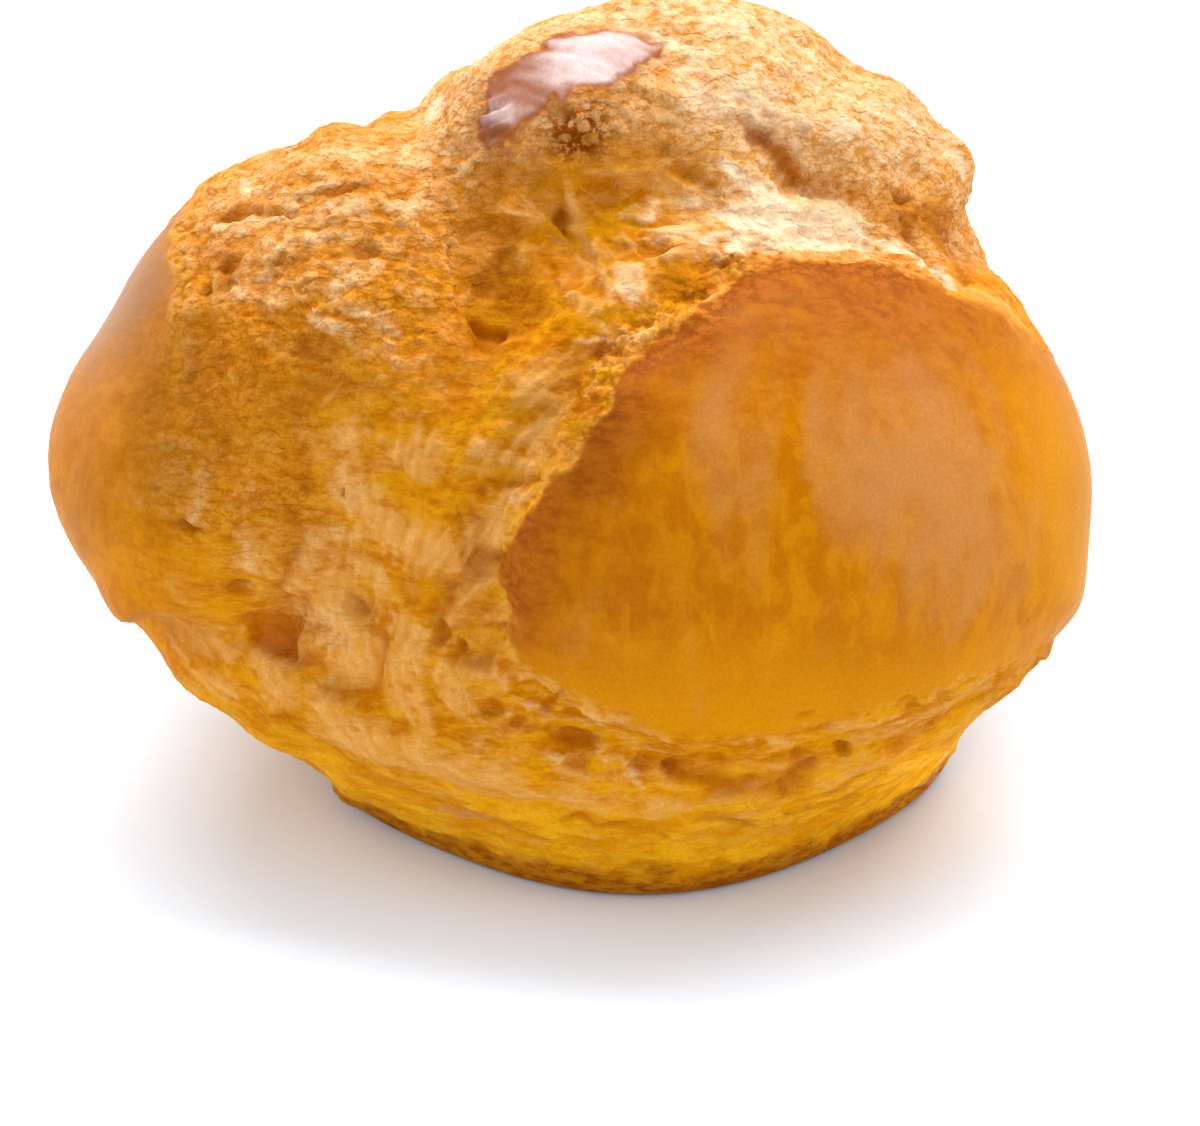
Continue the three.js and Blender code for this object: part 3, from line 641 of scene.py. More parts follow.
def foot_reach(rays):
    """The reach of downward rays to the foot's wavy, flaring side."""
    swell = np.ones(len(rays))
    for _ in range(12):
        wide, deep = FOOT_RADII[0] * swell, FOOT_RADII[1] * swell
        start_x, start_y = (HEART[0] - FOOT_MIDDLE[0]) / wide, (HEART[1] - FOOT_MIDDLE[1]) / deep
        step_x, step_y = rays[:, 0] / wide, rays[:, 1] / deep
        size = step_x**2 + step_y**2 + TINY
        along = start_x * step_x + start_y * step_y
        under = along * along - size * (start_x**2 + start_y**2 - 1.0)
        reach = (np.sqrt(np.maximum(under, 0)) - along) / size
        spot = HEART + rays * reach[:, None]
        azimuth = np.arctan2(spot[:, 1] - FOOT_MIDDLE[1], spot[:, 0] - FOOT_MIDDLE[0])
        waves = [rise * np.cos(count * (azimuth - math.radians(crest))) for count, rise, crest in FOOT_WAVES]
        swell = 1.0 + (sum(waves) + FOOT_FLARE * np.clip(spot[:, 2], 0, FOOT_FADE[1])) / FOOT_RADII[0]
    fade = 1.0 - FOOT_FADE[2] * ramp(spot[:, 2], FOOT_FADE[0], FOOT_FADE[1])
    return np.where(rays[:, 2] < 0, reach * fade, 0.0)


def soft_crust(rays):
    """How far the soft lobes and the foot reach, and how craggy the crust is there."""
    reaches = np.array([lobe_reach(rays, *sizes[:3]) for sizes in SOFT_LOBES.values()])
    reach = blend_largest(np.vstack([reaches, foot_reach(rays)]), SOFT_BLEND)
    shares = np.exp((reaches - reach) / SOFT_BLEND)
    craggy = np.array([sizes[3] for sizes in SOFT_LOBES.values()])
    return reach, craggy @ shares


def path_gap(points, path):
    """Distance of each point to a path, and where along the path it is nearest, counted in its points."""
    gap = np.full(len(points), np.inf)
    where = np.zeros(len(points))
    if len(path) == 1:
        return np.linalg.norm(points - path[0], axis=1), where
    for number, (start, end) in enumerate(zip(path[:-1], path[1:])):
        along = end - start
        share = np.clip((points - start) @ along / max(along @ along, TINY), 0.0, 1.0)
        distance = np.linalg.norm(points - start - share[:, None] * along, axis=1)
        closer = distance < gap
        gap[closer] = distance[closer]
        where[closer] = number + share[closer]
    return gap, where


def path_ways(path, where):
    """The stretch of a path for each place along it, and that stretch's way."""
    stretch = np.clip(where.astype(int), 0, len(path) - 2)
    return stretch, (path[1:] - path[:-1])[stretch]


def path_side(points, normals, path):
    """Signed distance of each point to a path that lies on the crust: above 0 on one side of it."""
    gap, where = path_gap(points, path)
    stretch, along = path_ways(path, where)
    side = np.where(((points - path[stretch]) * np.cross(along, normals)).sum(1) < 0, -1.0, 1.0)
    return gap * side


def depth_of(routes, points):
    """How deep the hollows or seams are at each point of the soft crust."""
    total = np.zeros(len(points))
    for route in routes.values():
        azimuth, elevation, depth, half_width = np.array(route, float).T
        azimuth, elevation = np.radians(azimuth), np.radians(elevation)
        level = np.cos(elevation)
        rays = np.stack([level * np.cos(azimuth), level * np.sin(azimuth), np.sin(elevation)], 1)
        path = HEART + rays * soft_crust(rays)[0][:, None]
        gap, where = path_gap(points, path)
        index = np.arange(len(route))
        total += np.interp(where, index, depth) * np.exp(-(gap / np.interp(where, index, half_width)) ** 2)
    return total


def shell_form():
    """The crust before its fine relief, as the solid has it: points, triangles, how craggy it is."""
    rays, triangles = sphere_mesh(SKIN_STEPS)
    rays = rays + RAY_LEAN
    rays /= np.linalg.norm(rays, axis=1)[:, None]
    soft, craggy = soft_crust(rays)
    smooth = HEART + rays * soft[:, None]
    torn = soft - depth_of(HOLLOWS, smooth)
    crisp = np.array([lobe_reach(rays, *sizes[:3]) for sizes in CRISP_LOBES.values()])
    reach = blend_largest(np.vstack([torn, crisp]), CRISP_BLEND)
    whole = np.exp((crisp - reach) / CRISP_BLEND)
    reach -= depth_of(SEAMS, smooth)
    tray = np.where(rays[:, 2] < -TABLE_RAYS, HEART[2] / np.maximum(-rays[:, 2], TABLE_RAYS), FAR_OFF)
    reach = -blend_largest(np.vstack([-reach, -tray]), FOOT_ROUNDING)
    return HEART + rays * reach[:, None], triangles, craggy, dict(zip(CRISP_LOBES, whole))


# ------------------------------------------------------------------ photo places


def photo_place(points):
    """Where points of the shell show in the photo, in its pixels."""
    seen = points - EYE
    depth = seen @ ONWARD
    scale = PIXELS_PER_MM * CAMERA_DISTANCE / depth
    return np.stack([PHOTO_SIZE[0] / 2 + seen @ ACROSS * scale, PHOTO_SIZE[1] / 2 - seen @ UPWARD * scale], 1)


def corner_normals(points, triangles):
    a, b, c = (points[triangles[:, i]] for i in range(3))
    face = np.cross(b - a, c - a)
    total = np.stack([
        sum(np.bincount(triangles[:, i], face[:, axis], len(points)) for i in range(3)) for axis in range(3)
    ], 1)
    return total / np.linalg.norm(total, axis=1)[:, None]


def round_off(ring, cuts=2):
    """Cuts the corners off a closed outline."""
    for _ in range(cuts):
        after = np.roll(ring, -1, 0)
        ring = np.stack([0.75 * ring + 0.25 * after, 0.25 * ring + 0.75 * after], 1).reshape(-1, 2)
    return ring


class Crust:
    """The smooth crust, with what is needed to lay the photo's features on it."""

    def __init__(self, points, triangles):
        self.points = points
        self.normals = corner_normals(points, triangles)
        self.height = points[:, 2]
        self.pixels = photo_place(points)
        self.x, self.y = self.pixels.T
        self.facing = -(self.normals @ ONWARD)
        self.turned = self.facing + 0.2 * noise(points, 6.0, 47)
        self.front = ramp(self.facing, -0.05, 0.1)
        self.back = 1.0 - self.front
        seen = self.facing > 0.03
        self.seen_points = points[seen]
        self.seen_pixels = self.pixels[seen]
        self.wander = layered_noise(points, 2.4, 2, 40)
        self.jitter = 0.45 * np.stack([layered_noise(points, 1.6, 2, 60 + 4 * axis) for axis in range(3)], 1)
        self.shaken = self.pixels + 5.0 * np.stack([noise(points, 1.3, 71), noise(points, 1.3, 72)], 1)
        self.fibre_way = self.flow()

    def at(self, pixels):
        """The crust's points that show at these pixels."""
        gaps = ((self.seen_pixels[None] - np.array(pixels, float)[:, None]) ** 2).sum(2)
        return self.seen_points[gaps.argmin(1)]

    def line(self, half_width, path):
        """How near each point is to a path in the photo: 1 on it, 0 a few half-widths away."""
        gap, where = path_gap(self.points + self.jitter, self.at(path))
        ends = np.minimum(where, len(path) - 1 - where)
        thin = half_width * (0.5 + 0.5 * ramp(ends, 0.0, 0.6)) * (1.0 + 0.4 * self.wander)
        return np.exp(-((gap / thin) ** 2)) * (0.8 + 0.4 * self.wander)

    def spot(self, x, y, across, along, turn):
        """How near each point is to the middle of an oval in the photo."""
        cosine, sine = math.cos(math.radians(turn)), math.sin(math.radians(turn))
        right, down = self.shaken[:, 0] - x, self.shaken[:, 1] - y
        far = np.hypot((right * cosine + down * sine) / across, (down * cosine - right * sine) / along)
        return (1.0 - ramp(far + 0.25 * self.wander, 0.5, 1.25)) * self.front

    def oval(self, x, y, across, along, power=2):
        """A soft oval in the photo: 1 in its middle, a third at its half-widths."""
        return np.exp(-np.hypot((self.x - x) / across, (self.y - y) / along) ** power)

    def painted(self, strokes):
        """The strongest of several strokes of colour at each point."""
        return np.maximum.reduce([
            np.clip(strength * 1.1 * self.line(1.35 * half_width, path), 0, 1)
            for half_width, strength, path in strokes.values()
        ])

    def depth_inside(self, outline, least_facing=-0.05):
        """Pixels from a closed outline in the photo, counted up inside it and down outside it."""
        ring = round_off(np.array(outline, float))
        gap = np.full(len(self.pixels), np.inf)
        crossings = np.zeros(len(self.pixels), int)
        for start, end in zip(ring, np.roll(ring, -1, 0)):
            along = end - start
            share = np.clip((self.pixels - start) @ along / (along @ along), 0, 1)
            gap = np.minimum(gap, np.linalg.norm(self.pixels - start - share[:, None] * along, axis=1))
            spans = (start[1] > self.y) != (end[1] > self.y)
            crossings += spans & (self.x < start[0] + (self.y - start[1]) * along[0] / (along[1] or TINY))
        signed = np.where(crossings % 2 == 1, gap, -gap)
        return np.where(self.facing > least_facing, signed, -FAR_OFF)

    def flow(self):
        """The way the fibres run at each point, along the crust."""
        level_share = 1e-6
        total = level_share * np.cross(self.normals, [0.0, 0.0, 1.0])
        weight = np.full((len(self.points), 1), level_share)
        for stroke in FLOWS:
            path = self.at(stroke)
            gap, where = path_gap(self.points, path)
            along = path_ways(path, where)[1]
            along /= np.linalg.norm(along, axis=1)[:, None] + TINY
            near = np.exp(-(gap / 4.0) ** 2)[:, None]
            total += along * near
            weight += near
        total /= weight
        total -= self.normals * (total * self.normals).sum(1)[:, None]
        return total / (np.linalg.norm(total, axis=1)[:, None] + 1e-6)

    def streaks(self, size, length, seed):
        """Noise drawn out along the fibres."""
        reach = np.linspace(-0.5, 0.5, 9) * length
        total = sum(noise(self.points + self.fibre_way * step, size, seed) for step in reach)
        return total / len(reach) * 2.4


# ------------------------------------------------------------------ relief and looks of the crust


def whole_skins(crust, whole):
    """The whole skins and the glazed patch: pixels inside their outlines, and their shares."""
    turned = crust.turned
    dome_depth = crust.depth_inside(DOME_OUTLINE, -0.75) + 5.0 * crust.wander
    dome_depth += 3.0 * noise(crust.points, EDGE_GRAIN, 45)
    left_depth = crust.depth_inside(LEFT_OUTLINE, -0.95) + 7.0 * crust.wander
    glaze_depth = crust.depth_inside(GLAZE_OUTLINE) + 9.0 * crust.wander
    glaze_depth += 4.0 * noise(crust.points, EDGE_GRAIN, 48)
    sharp_left = ramp(crust.y, 390, 270)
    dome = ramp(dome_depth, -3, 8) * ramp(turned, -0.6, -0.1)
    left = ramp(left_depth / (1.0 + 5.0 * (1.0 - sharp_left)), -12, 18) * ramp(turned, -0.8, -0.2)
    behind = crust.back * np.clip(whole["back_dome"] + whole["back_left"] + 0.6 * whole["dome"], 0, 1)
    smooth = np.clip(dome + left + ramp(behind, 0.35, 0.85), 0, 1)
    return SimpleNamespace(
        dome_depth=dome_depth, left_depth=left_depth, glaze_depth=glaze_depth, sharp_left=sharp_left,
        dome=dome, left=left, glaze=ramp(glaze_depth, -9, 12), behind=behind, smooth=smooth,
        rough=1.0 - smooth)


def torn_textures(crust, craggy, skin):
    """Where the crust is sandy or torn open, and the textures that it is made of there."""
    x, y, points = crust.x, crust.y, crust.points
    up_left = ramp(x + 0.5 * y, 685, 555) * ramp(y, 480, 300)
    top = ramp(y, 200, 110) * ramp(x, 380, 450)
    top_right = ramp(x, 640, 760) * ramp(y, 300, 250)
    column = 0.75 * ramp(x, 390, 270) * ramp(y, 640, 480)
    sandy = np.maximum.reduce([up_left, top, top_right, column]) * crust.front
    sandy = np.maximum(sandy, crust.back * ramp(craggy, 0.55, 0.9))
    sandy = np.clip(sandy + 0.25 * crust.wander * (sandy > 0.02), 0, 1) * skin.rough
    # Cream on the top: partly pale crumb, partly painted light from above.
    high = 0.75 * top + 0.6 * top_right + 0.45 * up_left * ramp(y, 330, 230)

    stretched = points * TORN_STRETCH
    streak = crust.streaks(0.9, 3.4, 23)
    crumb = billow(points * CRUMB_STRETCH, 0.9, 2, 11)
    lumps = billow(points, 2.7, 3, 13)
    wrinkle = layered_noise(stretched, 1.5, 3, 15)
    flake = ramp(layered_noise(stretched, 5.5, 4, 81), -0.06, 0.10)
    grains = 0.12 * wrinkle + 0.24 * crumb + 0.11 * lumps + 0.12 * flake + 0.22 * streak
    grains *= 0.55 + 0.45 * ramp(crust.facing, 0.05, 0.5)
    belt = ramp(y, 660, 700) * ramp(y, 815, 770) * ramp(x, 440, 520)
    belt = skin.rough * np.maximum(belt * crust.front, 0.6 * crust.back * ramp(crust.height, 20, 12))
    foam = bubbles(stretched, 1.7, 0.45, 91)
    return SimpleNamespace(
        sandy=sandy, high=high * ramp(crust.turned, -0.5, 0.1), streak=streak,
        fibre=crust.streaks(0.55, 3.4, 29), crumb=crumb, lumps=lumps, wrinkle=wrinkle, grains=grains,
        web=webs(stretched, 4.4, 2, 85), holes=belt * foam,
        hole_rim=belt * np.exp(-((foam - 0.12) / 0.14) ** 2) * (foam > 0))


def texture_relief(crust, craggy, skin, torn):
    """Crags, crumbs, webs and bubbles of the torn crust, and the faint waves of the whole skins."""
    relief = craggy * sum(rise * noise(crust.points, size, int(size)) for size, rise in CRAGS)
    relief += torn.sandy * (1.0 - skin.glaze) * torn.grains
    membranes = 0.20 * torn.web + 0.12 * torn.streak + 0.16 * torn.fibre + 0.05 * torn.wrinkle
    relief = skin.rough * (relief + (1.0 - torn.sandy) * membranes)
    relief += 0.12 * torn.hole_rim - 0.45 * torn.holes
    return relief + skin.smooth * (0.12 * noise(crust.points, 6.5, 5) + 0.03 * noise(crust.points, 1.6, 6))


def skin_edges(crust, skin, torn):
    """The flaky edges of the whole skins: relief, and the shares of edge, brow and ridge."""
    x, y, lumps, crumb = crust.x, crust.y, torn.lumps, torn.crumb
    flaky = np.clip(0.5 + 0.9 * noise(crust.points, 3.0, 46), 0, 1)
    upper = ramp(y, 740, 660) * ramp(x, 1050, 960) * (1.0 - 0.7 * ramp(x, 720, 800) * ramp(y, 420, 340))
    upper *= crust.front
    edge = np.exp(-((skin.dome_depth - 1.0) / 6.0) ** 2) * upper
    brow = np.exp(-((skin.dome_depth + 14.0) / 20.0) ** 2) * ramp(y, 490, 370) * upper
    outside = np.exp(np.minimum(skin.dome_depth, 0) / 30.0) * (1.0 - skin.dome) * upper
    ridge = np.exp(-((skin.left_depth + 5.0) / 7.0) ** 2) * crust.front * skin.sharp_left
    relief = edge * (0.12 + 0.22 * lumps + 0.10 * crumb) - outside * (0.1 + 0.3 * flaky)
    relief += brow * (0.25 + 0.40 * lumps + 0.15 * crumb) + ridge * (0.15 + 0.20 * lumps)
    relief -= 0.3 * skin.left * skin.sharp_left * np.exp(-np.maximum(skin.left_depth, 0) / 40.0)
    relief += skin.glaze * (0.06 + 0.10 * torn.fibre)
    return relief, edge, brow, ridge


def photo_features(crust, skin, torn):
    """The lines, spots, holes and washes that the photo shows one by one: relief and fields."""
    count = len(crust.points)
    relief, pale, toast, deep = (np.zeros(count) for _ in range(4))
    crack, strand = (np.full(count, LINE_REACH) for _ in range(2))
    for rise, half_width, tint, path in LINES.values():
        near = crust.line(half_width, path)
        broad = crust.line(half_width * HALO, path)
        relief += rise * near * (0.7 if rise > 0 else 1.0)
        # Raised lines are painted paler and grooves darker: partly painted light and shade, partly toasting.
        pale = np.maximum(pale, max(tint, 0) * broad)
        toast = np.maximum(toast, 0.35 * max(-tint, 0) * broad)
        deep = np.maximum(deep, max(-tint, 0) * near)
        side = path_side(crust.points + 0.6 * crust.jitter, crust.normals, crust.at(path))
        nearest = crack if rise < 0 else strand
        np.copyto(nearest, side, where=np.abs(side) < np.abs(nearest))
    for *oval, rise, tint in SPOTS.values():
        near = crust.spot(*oval)
        hollow = rise < -0.3
        relief += rise * near
        pale = np.maximum(pale, max(tint, 0) * near)
        toast = np.maximum(toast, max(-tint, 0) * near * (0.2 if hollow else 0.6))
        # In a hollow spot the darker, warmer colour is painted shade.
        deep = np.maximum(deep, max(-tint, 0) * near * hollow)
    for fall, outline in HOLES.values():
        inside = ramp(crust.depth_inside(outline) + 4.0 * crust.wander, -3, 9)
        relief -= fall * inside
        # The deepest holes take the darker, warmer colour, painted shade.
        if fall >= 0.8:
            deep = np.maximum(deep, 0.7 * inside)

    wash, milk_and_highlight, burn = (crust.painted(strokes) for strokes in (PALE_WASHES, MILK_AND_HIGHLIGHT_WASHES, ORANGE_WASHES))
    relief += wash * (0.3 * skin.rough * (1.0 - torn.sandy) + 0.06 * torn.sandy)
    crumbs = crust.spot(577, 132, 38, 30, 0) * (1.0 - skin.glaze)
    relief += crumbs * (0.6 * billow(crust.points, 1.3, 2, 31) - 0.1)
    fingers = crust.spot(488, 114, 20, 28, 0) * ramp(skin.glaze_depth, -12, 4)
    relief += 0.3 * fingers * np.sin(crust.pixels @ FINGER_WAY * 2 * math.pi / FINGER_GAP)
    return relief, {
        "pale": pale, "toast": toast, "deep": deep, "crumbs": crumbs, "wash": wash, "milk_and_highlight": milk_and_highlight,
        "burn": burn, "crack": crack, "strand": strand,
    }


def skin_looks(crust, skin, toast, topside):
    """Toasted and yellow parts of the whole skins, their painted reflections and pink tone, and the painted
    highlight on the glazed patch.
    """
    x, y, turned, dome, left, glaze = crust.x, crust.y, crust.turned, skin.dome, skin.left, skin.glaze
    oval = {name: crust.oval(*sizes) for name, sizes in SKIN_OVALS.items()}
    dome_rim = ramp(skin.dome_depth, 110, 10) * ramp(y, 730, 580) * ramp(x, 1010, 830)
    ring = np.exp(-((skin.glaze_depth + 4.0) / 12.0) ** 2) * crust.front * ramp(y, 50, 95)
    # The dome's top is painted darker: toasted, and painted shade under the brow above it.
    toast = np.maximum.reduce([
        toast, dome * dome_rim, 0.35 * dome * oval["dome_low"], 0.95 * dome * ramp(y, 460, 270),
        0.7 * left * oval["left_toast"], 0.35 * ring,
        0.55 * crust.back * (1.0 - dome) * skin.smooth * topside,
    ])
    right = x - 0.2 * np.maximum(y - 480, 0) + 0.5 * np.maximum(430 - y, 0) + 14.0 * crust.wander
    band = dome * np.maximum(ramp(right, 985, 1060), ramp(y, 610, 690))
    # A pinkish patch over the dome's middle and right: a painted reflection of the lights.
    reflection_and_tone = np.maximum.reduce([oval["reflection_and_tone"], 0.75 * oval["reflection_top"], 0.25 * oval["reflection_left"]])
    reflection_and_tone *= 1.0 - 0.6 * oval["reflection_gap"]
    reflection_and_tone *= 1.0 - 0.35 * np.exp(-(((x - 790) - 0.45 * (y - 480)) / 24) ** 2) * ramp(y, 330, 420)
    # On the back domes the same pink coat is a tone at random.
    pink_behind = skin.behind * ramp(noise(crust.points, 11.0, 34), -0.1, 0.5)
    sheen_low = 0.6 * oval["sheen_low"] * ramp(turned, -0.45, 0.05)
    return {
        "toast": toast,
        "band": band,
        "reflection_and_pink_tone": np.maximum(dome * reflection_and_tone * (1.0 - band), 0.7 * pink_behind * (1.0 - dome)),
        # Sheen and grey along the left lobe's edge are painted reflections, and shine on the glazed patch a
        # painted highlight.
        "sheen": left * np.maximum(ramp(x + 0.45 * (y - 300), 176, 88) * ramp(turned, -0.5, 0.15), sheen_low),
        "grey_sheen_left": left * oval["grey_sheen_left"] * ramp(turned, -0.35, 0.1),
        "shine": glaze * (oval["shine"] + 0.7 * oval["glint"]),
    }


def settled(crust, relief):
    """The crust's points moved out by the relief, which fades at the foot, and none below the table."""
    trims = sum(rise * crust.oval(x, y, reach, reach) for x, y, reach, rise in TRIMS.values())
    relief = (relief + trims * ramp(crust.facing, -0.8, -0.4)) * ramp(crust.height, 0.25, 1.6)
    outward = crust.points[:, :2] - crust.points[:, :2].mean(0)
    outward /= np.linalg.norm(outward, axis=1)[:, None] + TINY
    push = FOOT_PUSH * np.clip(outward @ FOOT_PUSH_WAY, 0, 1) ** 2 * ramp(crust.height, 5, 1)
    moved = crust.points + crust.normals * relief[:, None]
    moved[:, :2] += outward * push[:, None]
    moved[:, 2] = np.maximum(moved[:, 2], 0.0)
    return moved


def dress_crust(points, triangles, craggy, whole):
    """The crust's points with their fine relief, and the fields that colour it."""
    crust = Crust(points, triangles)
    skin = whole_skins(crust, whole)
    torn = torn_textures(crust, craggy, skin)
    topside = ramp(crust.normals[:, 2] + 0.5 * noise(points, 7.0, 33), 0.05, 0.8)
    edge_relief, edge, brow, ridge = skin_edges(crust, skin, torn)
    feature_relief, fields = photo_features(crust, skin, torn)
    relief = texture_relief(crust, craggy, skin, torn) + edge_relief + feature_relief

    crumbs = fields["crumbs"]
    fields |= skin_looks(crust, skin, np.maximum(fields["toast"], 0.2 * crumbs), topside)
    top_crumbs = skin.dome * ramp(skin.dome_depth, 34, 4) * ramp(crust.y, 400, 300) * ramp(crust.x, 960, 880)
    # Painted light and shade: the listed places painted lighter or darker, partly the crust's own tone, and
    # the back painted darker where the light from behind is strong.
    painted_light_and_tone = sum(math.log(share) * crust.oval(*oval) for *oval, share in LIGHT_AND_TONE_SHARES.values())
    painted_light_and_tone = np.exp(painted_light_and_tone * crust.front) * (1.0 - BACK_PAINTED_SHADE * crust.back * ramp(crust.turned, 0.1, -0.4))
    fields |= {
        "smooth": skin.smooth,
        "sandy": torn.sandy,
        "glaze": skin.glaze,
        # Pale rims round the bubbles are partly painted light, and the deep colour in them is painted shade.
        "pale": np.maximum(fields["pale"], 0.35 * torn.hole_rim),
        "deep": np.maximum(fields["deep"], 0.5 * torn.holes),
        "crumbs": np.maximum.reduce([crumbs, 0.5 * brow * ramp(crust.x, 735, 700), 0.8 * top_crumbs]),
        "edge": 0.8 * edge + 0.7 * ridge,
        # Cream on the top and on the back's upward faces: partly pale crumb, partly painted light from above.
        "high": np.maximum(torn.high, 0.55 * crust.back * topside),
        "drift": 0.5 + 0.5 * crust.streaks(2.2, 9.0, 37),
        "streak": 0.5 + 0.5 * torn.streak,
        "fibre": 0.5 + 0.5 * torn.fibre,
        # Cream on the crumb's tops and orange in its hollows: painted light and shade on the relief.
        "peak": ramp(torn.grains, -0.12, 0.34),
        "yellow": ramp(crust.y, 680, 740) * crust.front,
        "rim": 1.0 - ramp(crust.height + 0.9 * crust.wander, 1.8, 3.1),
        # Low down near the table the gold is painted lighter, as light bounced from the table.
        "low": 1.0 - ramp(crust.height, 6, 14),
        "painted_light_and_tone": painted_light_and_tone,
    }
    for name in ("toast", "deep", "drift", "streak", "fibre", "reflection_and_pink_tone", "band", "edge", "crumbs", "high"):
        fields[name] = np.clip(fields[name], 0, 1)
    return settled(crust, relief), fields


def mesh_piece(name, points, triangles, fields):
    mesh = bpy.data.meshes.new(name)
    mesh.vertices.add(len(points))
    mesh.vertices.foreach_set("co", (points * MM).astype(np.float32).ravel())
    mesh.loops.add(triangles.size)
    mesh.loops.foreach_set("vertex_index", triangles.astype(np.int32).ravel())
    mesh.polygons.add(len(triangles))
    mesh.polygons.foreach_set("loop_start", np.arange(0, triangles.size, 3, dtype=np.int32))
    mesh.polygons.foreach_set("use_smooth", np.ones(len(triangles), bool))
    mesh.update(calc_edges=True)
    mesh.validate()
    for field, values in fields.items():
        layer = mesh.attributes.new(field, "FLOAT", "POINT")
        layer.data.foreach_set("value", values.astype(np.float32))
    piece = bpy.data.objects.new(name, mesh)
    bpy.context.scene.collection.objects.link(piece)
    return piece


# ------------------------------------------------------------------ materials

# Colours of baked egg dough in sRGB: pairs that a grain runs between, and single coats.
BLENDS = {
    "gold": ((188, 108, 0), (212, 142, 6)),
    # The lighter gold low down near the table: painted light bounced from the table.
    "bounce_lit_gold": ((218, 141, 4), (238, 173, 24)),
    "membrane": ((206, 138, 48), (222, 162, 86)),
    "sand": ((178, 100, 4), (206, 132, 28)),
    "cream": ((206, 142, 68), (226, 186, 138)),
    "scorched": ((152, 82, 2), (184, 110, 6)),
    "skin": ((184, 106, 0), (202, 126, 2)),
    "brown": ((134, 62, 8), (166, 88, 16)),
    # The glazed patch's colour, which runs up to a painted highlight at its light end.
    "mauve_and_highlight": ((148, 86, 54), (236, 209, 206)),
    "dust": ((244, 241, 236), (255, 255, 255)),
    "table": ((229, 238, 249), (233, 242, 252)),
}
COATS = {
    "band": (206, 132, 0),
    # A pinkish coat: on the dome a painted reflection of the lights, on the back domes a pink tone at random.
    "reflection_and_tone": (191, 126, 66),
    # Sheen and grey: a painted reflection along the left lobe's edge.
    "sheen": (158, 104, 58),
    "grey_sheen": (168, 126, 92),
    # Pale edge: lighter colour on raised lines and rims, partly painted light.
    "pale_edge": (232, 200, 152),
    "flaky_edge": (218, 158, 62),
    # Whitish cream: a painted highlight over pale crumb.
    "milk_and_highlight": (244, 214, 178),
    "strand": (228, 180, 112),
    "crumb": (132, 62, 2),
    # Deep and crack: a darker, warmer colour in hollows and cracks, which is painted shade.
    "deep": (184, 100, 2),
    "crack": (150, 78, 4),
    "rim": (142, 66, 4),
    "glaze_edge": (150, 76, 18),
}


def linear(red, green, blue):
    """An sRGB colour of 0 to 255 as the shaders take it."""
    parts = [part / 255 for part in (red, green, blue)]
    return (*[part / 12.92 if part <= 0.04045 else ((part + 0.055) / 1.055) ** 2.4 for part in parts], 1.0)


class Nodes:
    """Short calls that build one material's nodes."""

    def __init__(self, name):
        self.material = bpy.data.materials.new(name)
        self.material.use_nodes = True
        self.tree = self.material.node_tree
        self.shader = self.tree.nodes["Principled BSDF"]

    def add(self, kind, **settings):
        node = self.tree.nodes.new(kind)
        for key, value in settings.items():
            setattr(node, key, value)
        return node

    def plug(self, socket, value):
        if isinstance(value, bpy.types.NodeSocket):
            self.tree.links.new(value, socket)
        else:
            socket.default_value = value

    def put(self, node, *values):
        """Sets a node's first sockets."""
        for socket, value in zip(node.inputs, values):
            self.plug(socket, value)
        return node

    def set(self, node, **values):
        """Sets a node's sockets by their names, with _ for each space."""
        for name, value in values.items():
            self.plug(node.inputs[name.replace("_", " ")], value)
        return node

    def fields(self, *names):
        return [self.add("ShaderNodeAttribute", attribute_name=name).outputs["Fac"] for name in names]

    def scaled(self, vector, factor):
        node = self.put(self.add("ShaderNodeVectorMath", operation="SCALE"), vector)
        return self.set(node, Scale=factor).outputs[0]

    def millimetres(self):
        return self.scaled(self.add("ShaderNodeTexCoord").outputs["Object"], 1.0 / MM)

    def stretched(self, place, factors):
        node = self.add("ShaderNodeVectorMath", operation="MULTIPLY")
        return self.put(node, place, factors).outputs[0]

    def grain(self, place, size, detail, rough, warp=0.0):
        node = self.add("ShaderNodeTexNoise")
        self.set(node, Vector=place, Scale=1.0 / size, Detail=detail, Roughness=rough, Distortion=warp)
        return node.outputs["Fac"]

    def cells(self, place, size):
        """Rounded crumbs: 1 in the middle of each, lower at their edges."""
        node = self.set(self.add("ShaderNodeTexVoronoi"), Vector=place, Scale=1.0 / size)
        return self.maths("SUBTRACT", 1.0, node.outputs["Distance"])

    def total(self, *shares):
        """The sum of values, each times its share."""
        sum_so_far = 0.0
        for value, share in shares:
            node = self.add("ShaderNodeMath", operation="MULTIPLY_ADD")
            sum_so_far = self.put(node, value, share, sum_so_far).outputs[0]
        return sum_so_far

    def maths(self, operation, first, second=0.0):
        return self.put(self.add("ShaderNodeMath", operation=operation), first, second).outputs[0]

    def times(self, first, second):
        return self.maths("MULTIPLY", first, second)

    def span(self, value, low, high, out_low=0.0, out_high=1.0):
        node = self.add("ShaderNodeMapRange", interpolation_type="SMOOTHSTEP")
        self.set(node, Value=value, From_Min=low, From_Max=high, To_Min=out_low, To_Max=out_high)
        return node.outputs["Result"]

    def thin(self, value, half_width):
        """1 where a value is 0, and 0 half a width away."""
        return self.span(self.maths("ABSOLUTE", value), 0.0, half_width, 1.0, 0.0)

    def mix(self, share, first, second, blend="MIX"):
        """Two colours mixed; a plain one is an sRGB colour of 0 to 255."""
        node = self.add("ShaderNodeMix", data_type="RGBA", blend_type=blend)
        self.put(node, share)
        sockets = [socket for socket in node.inputs if socket.type == "RGBA"]
        for socket, colour in zip(sockets, (first, second)):
            self.plug(socket, linear(*colour) if isinstance(colour, tuple) else colour)
        return next(socket for socket in node.outputs if socket.type == "RGBA")

    def blend(self, name, value, low, high):
        """From the first to the second colour of a pair while a value goes from low to high."""
        return self.mix(self.span(value, low, high), *BLENDS[name])


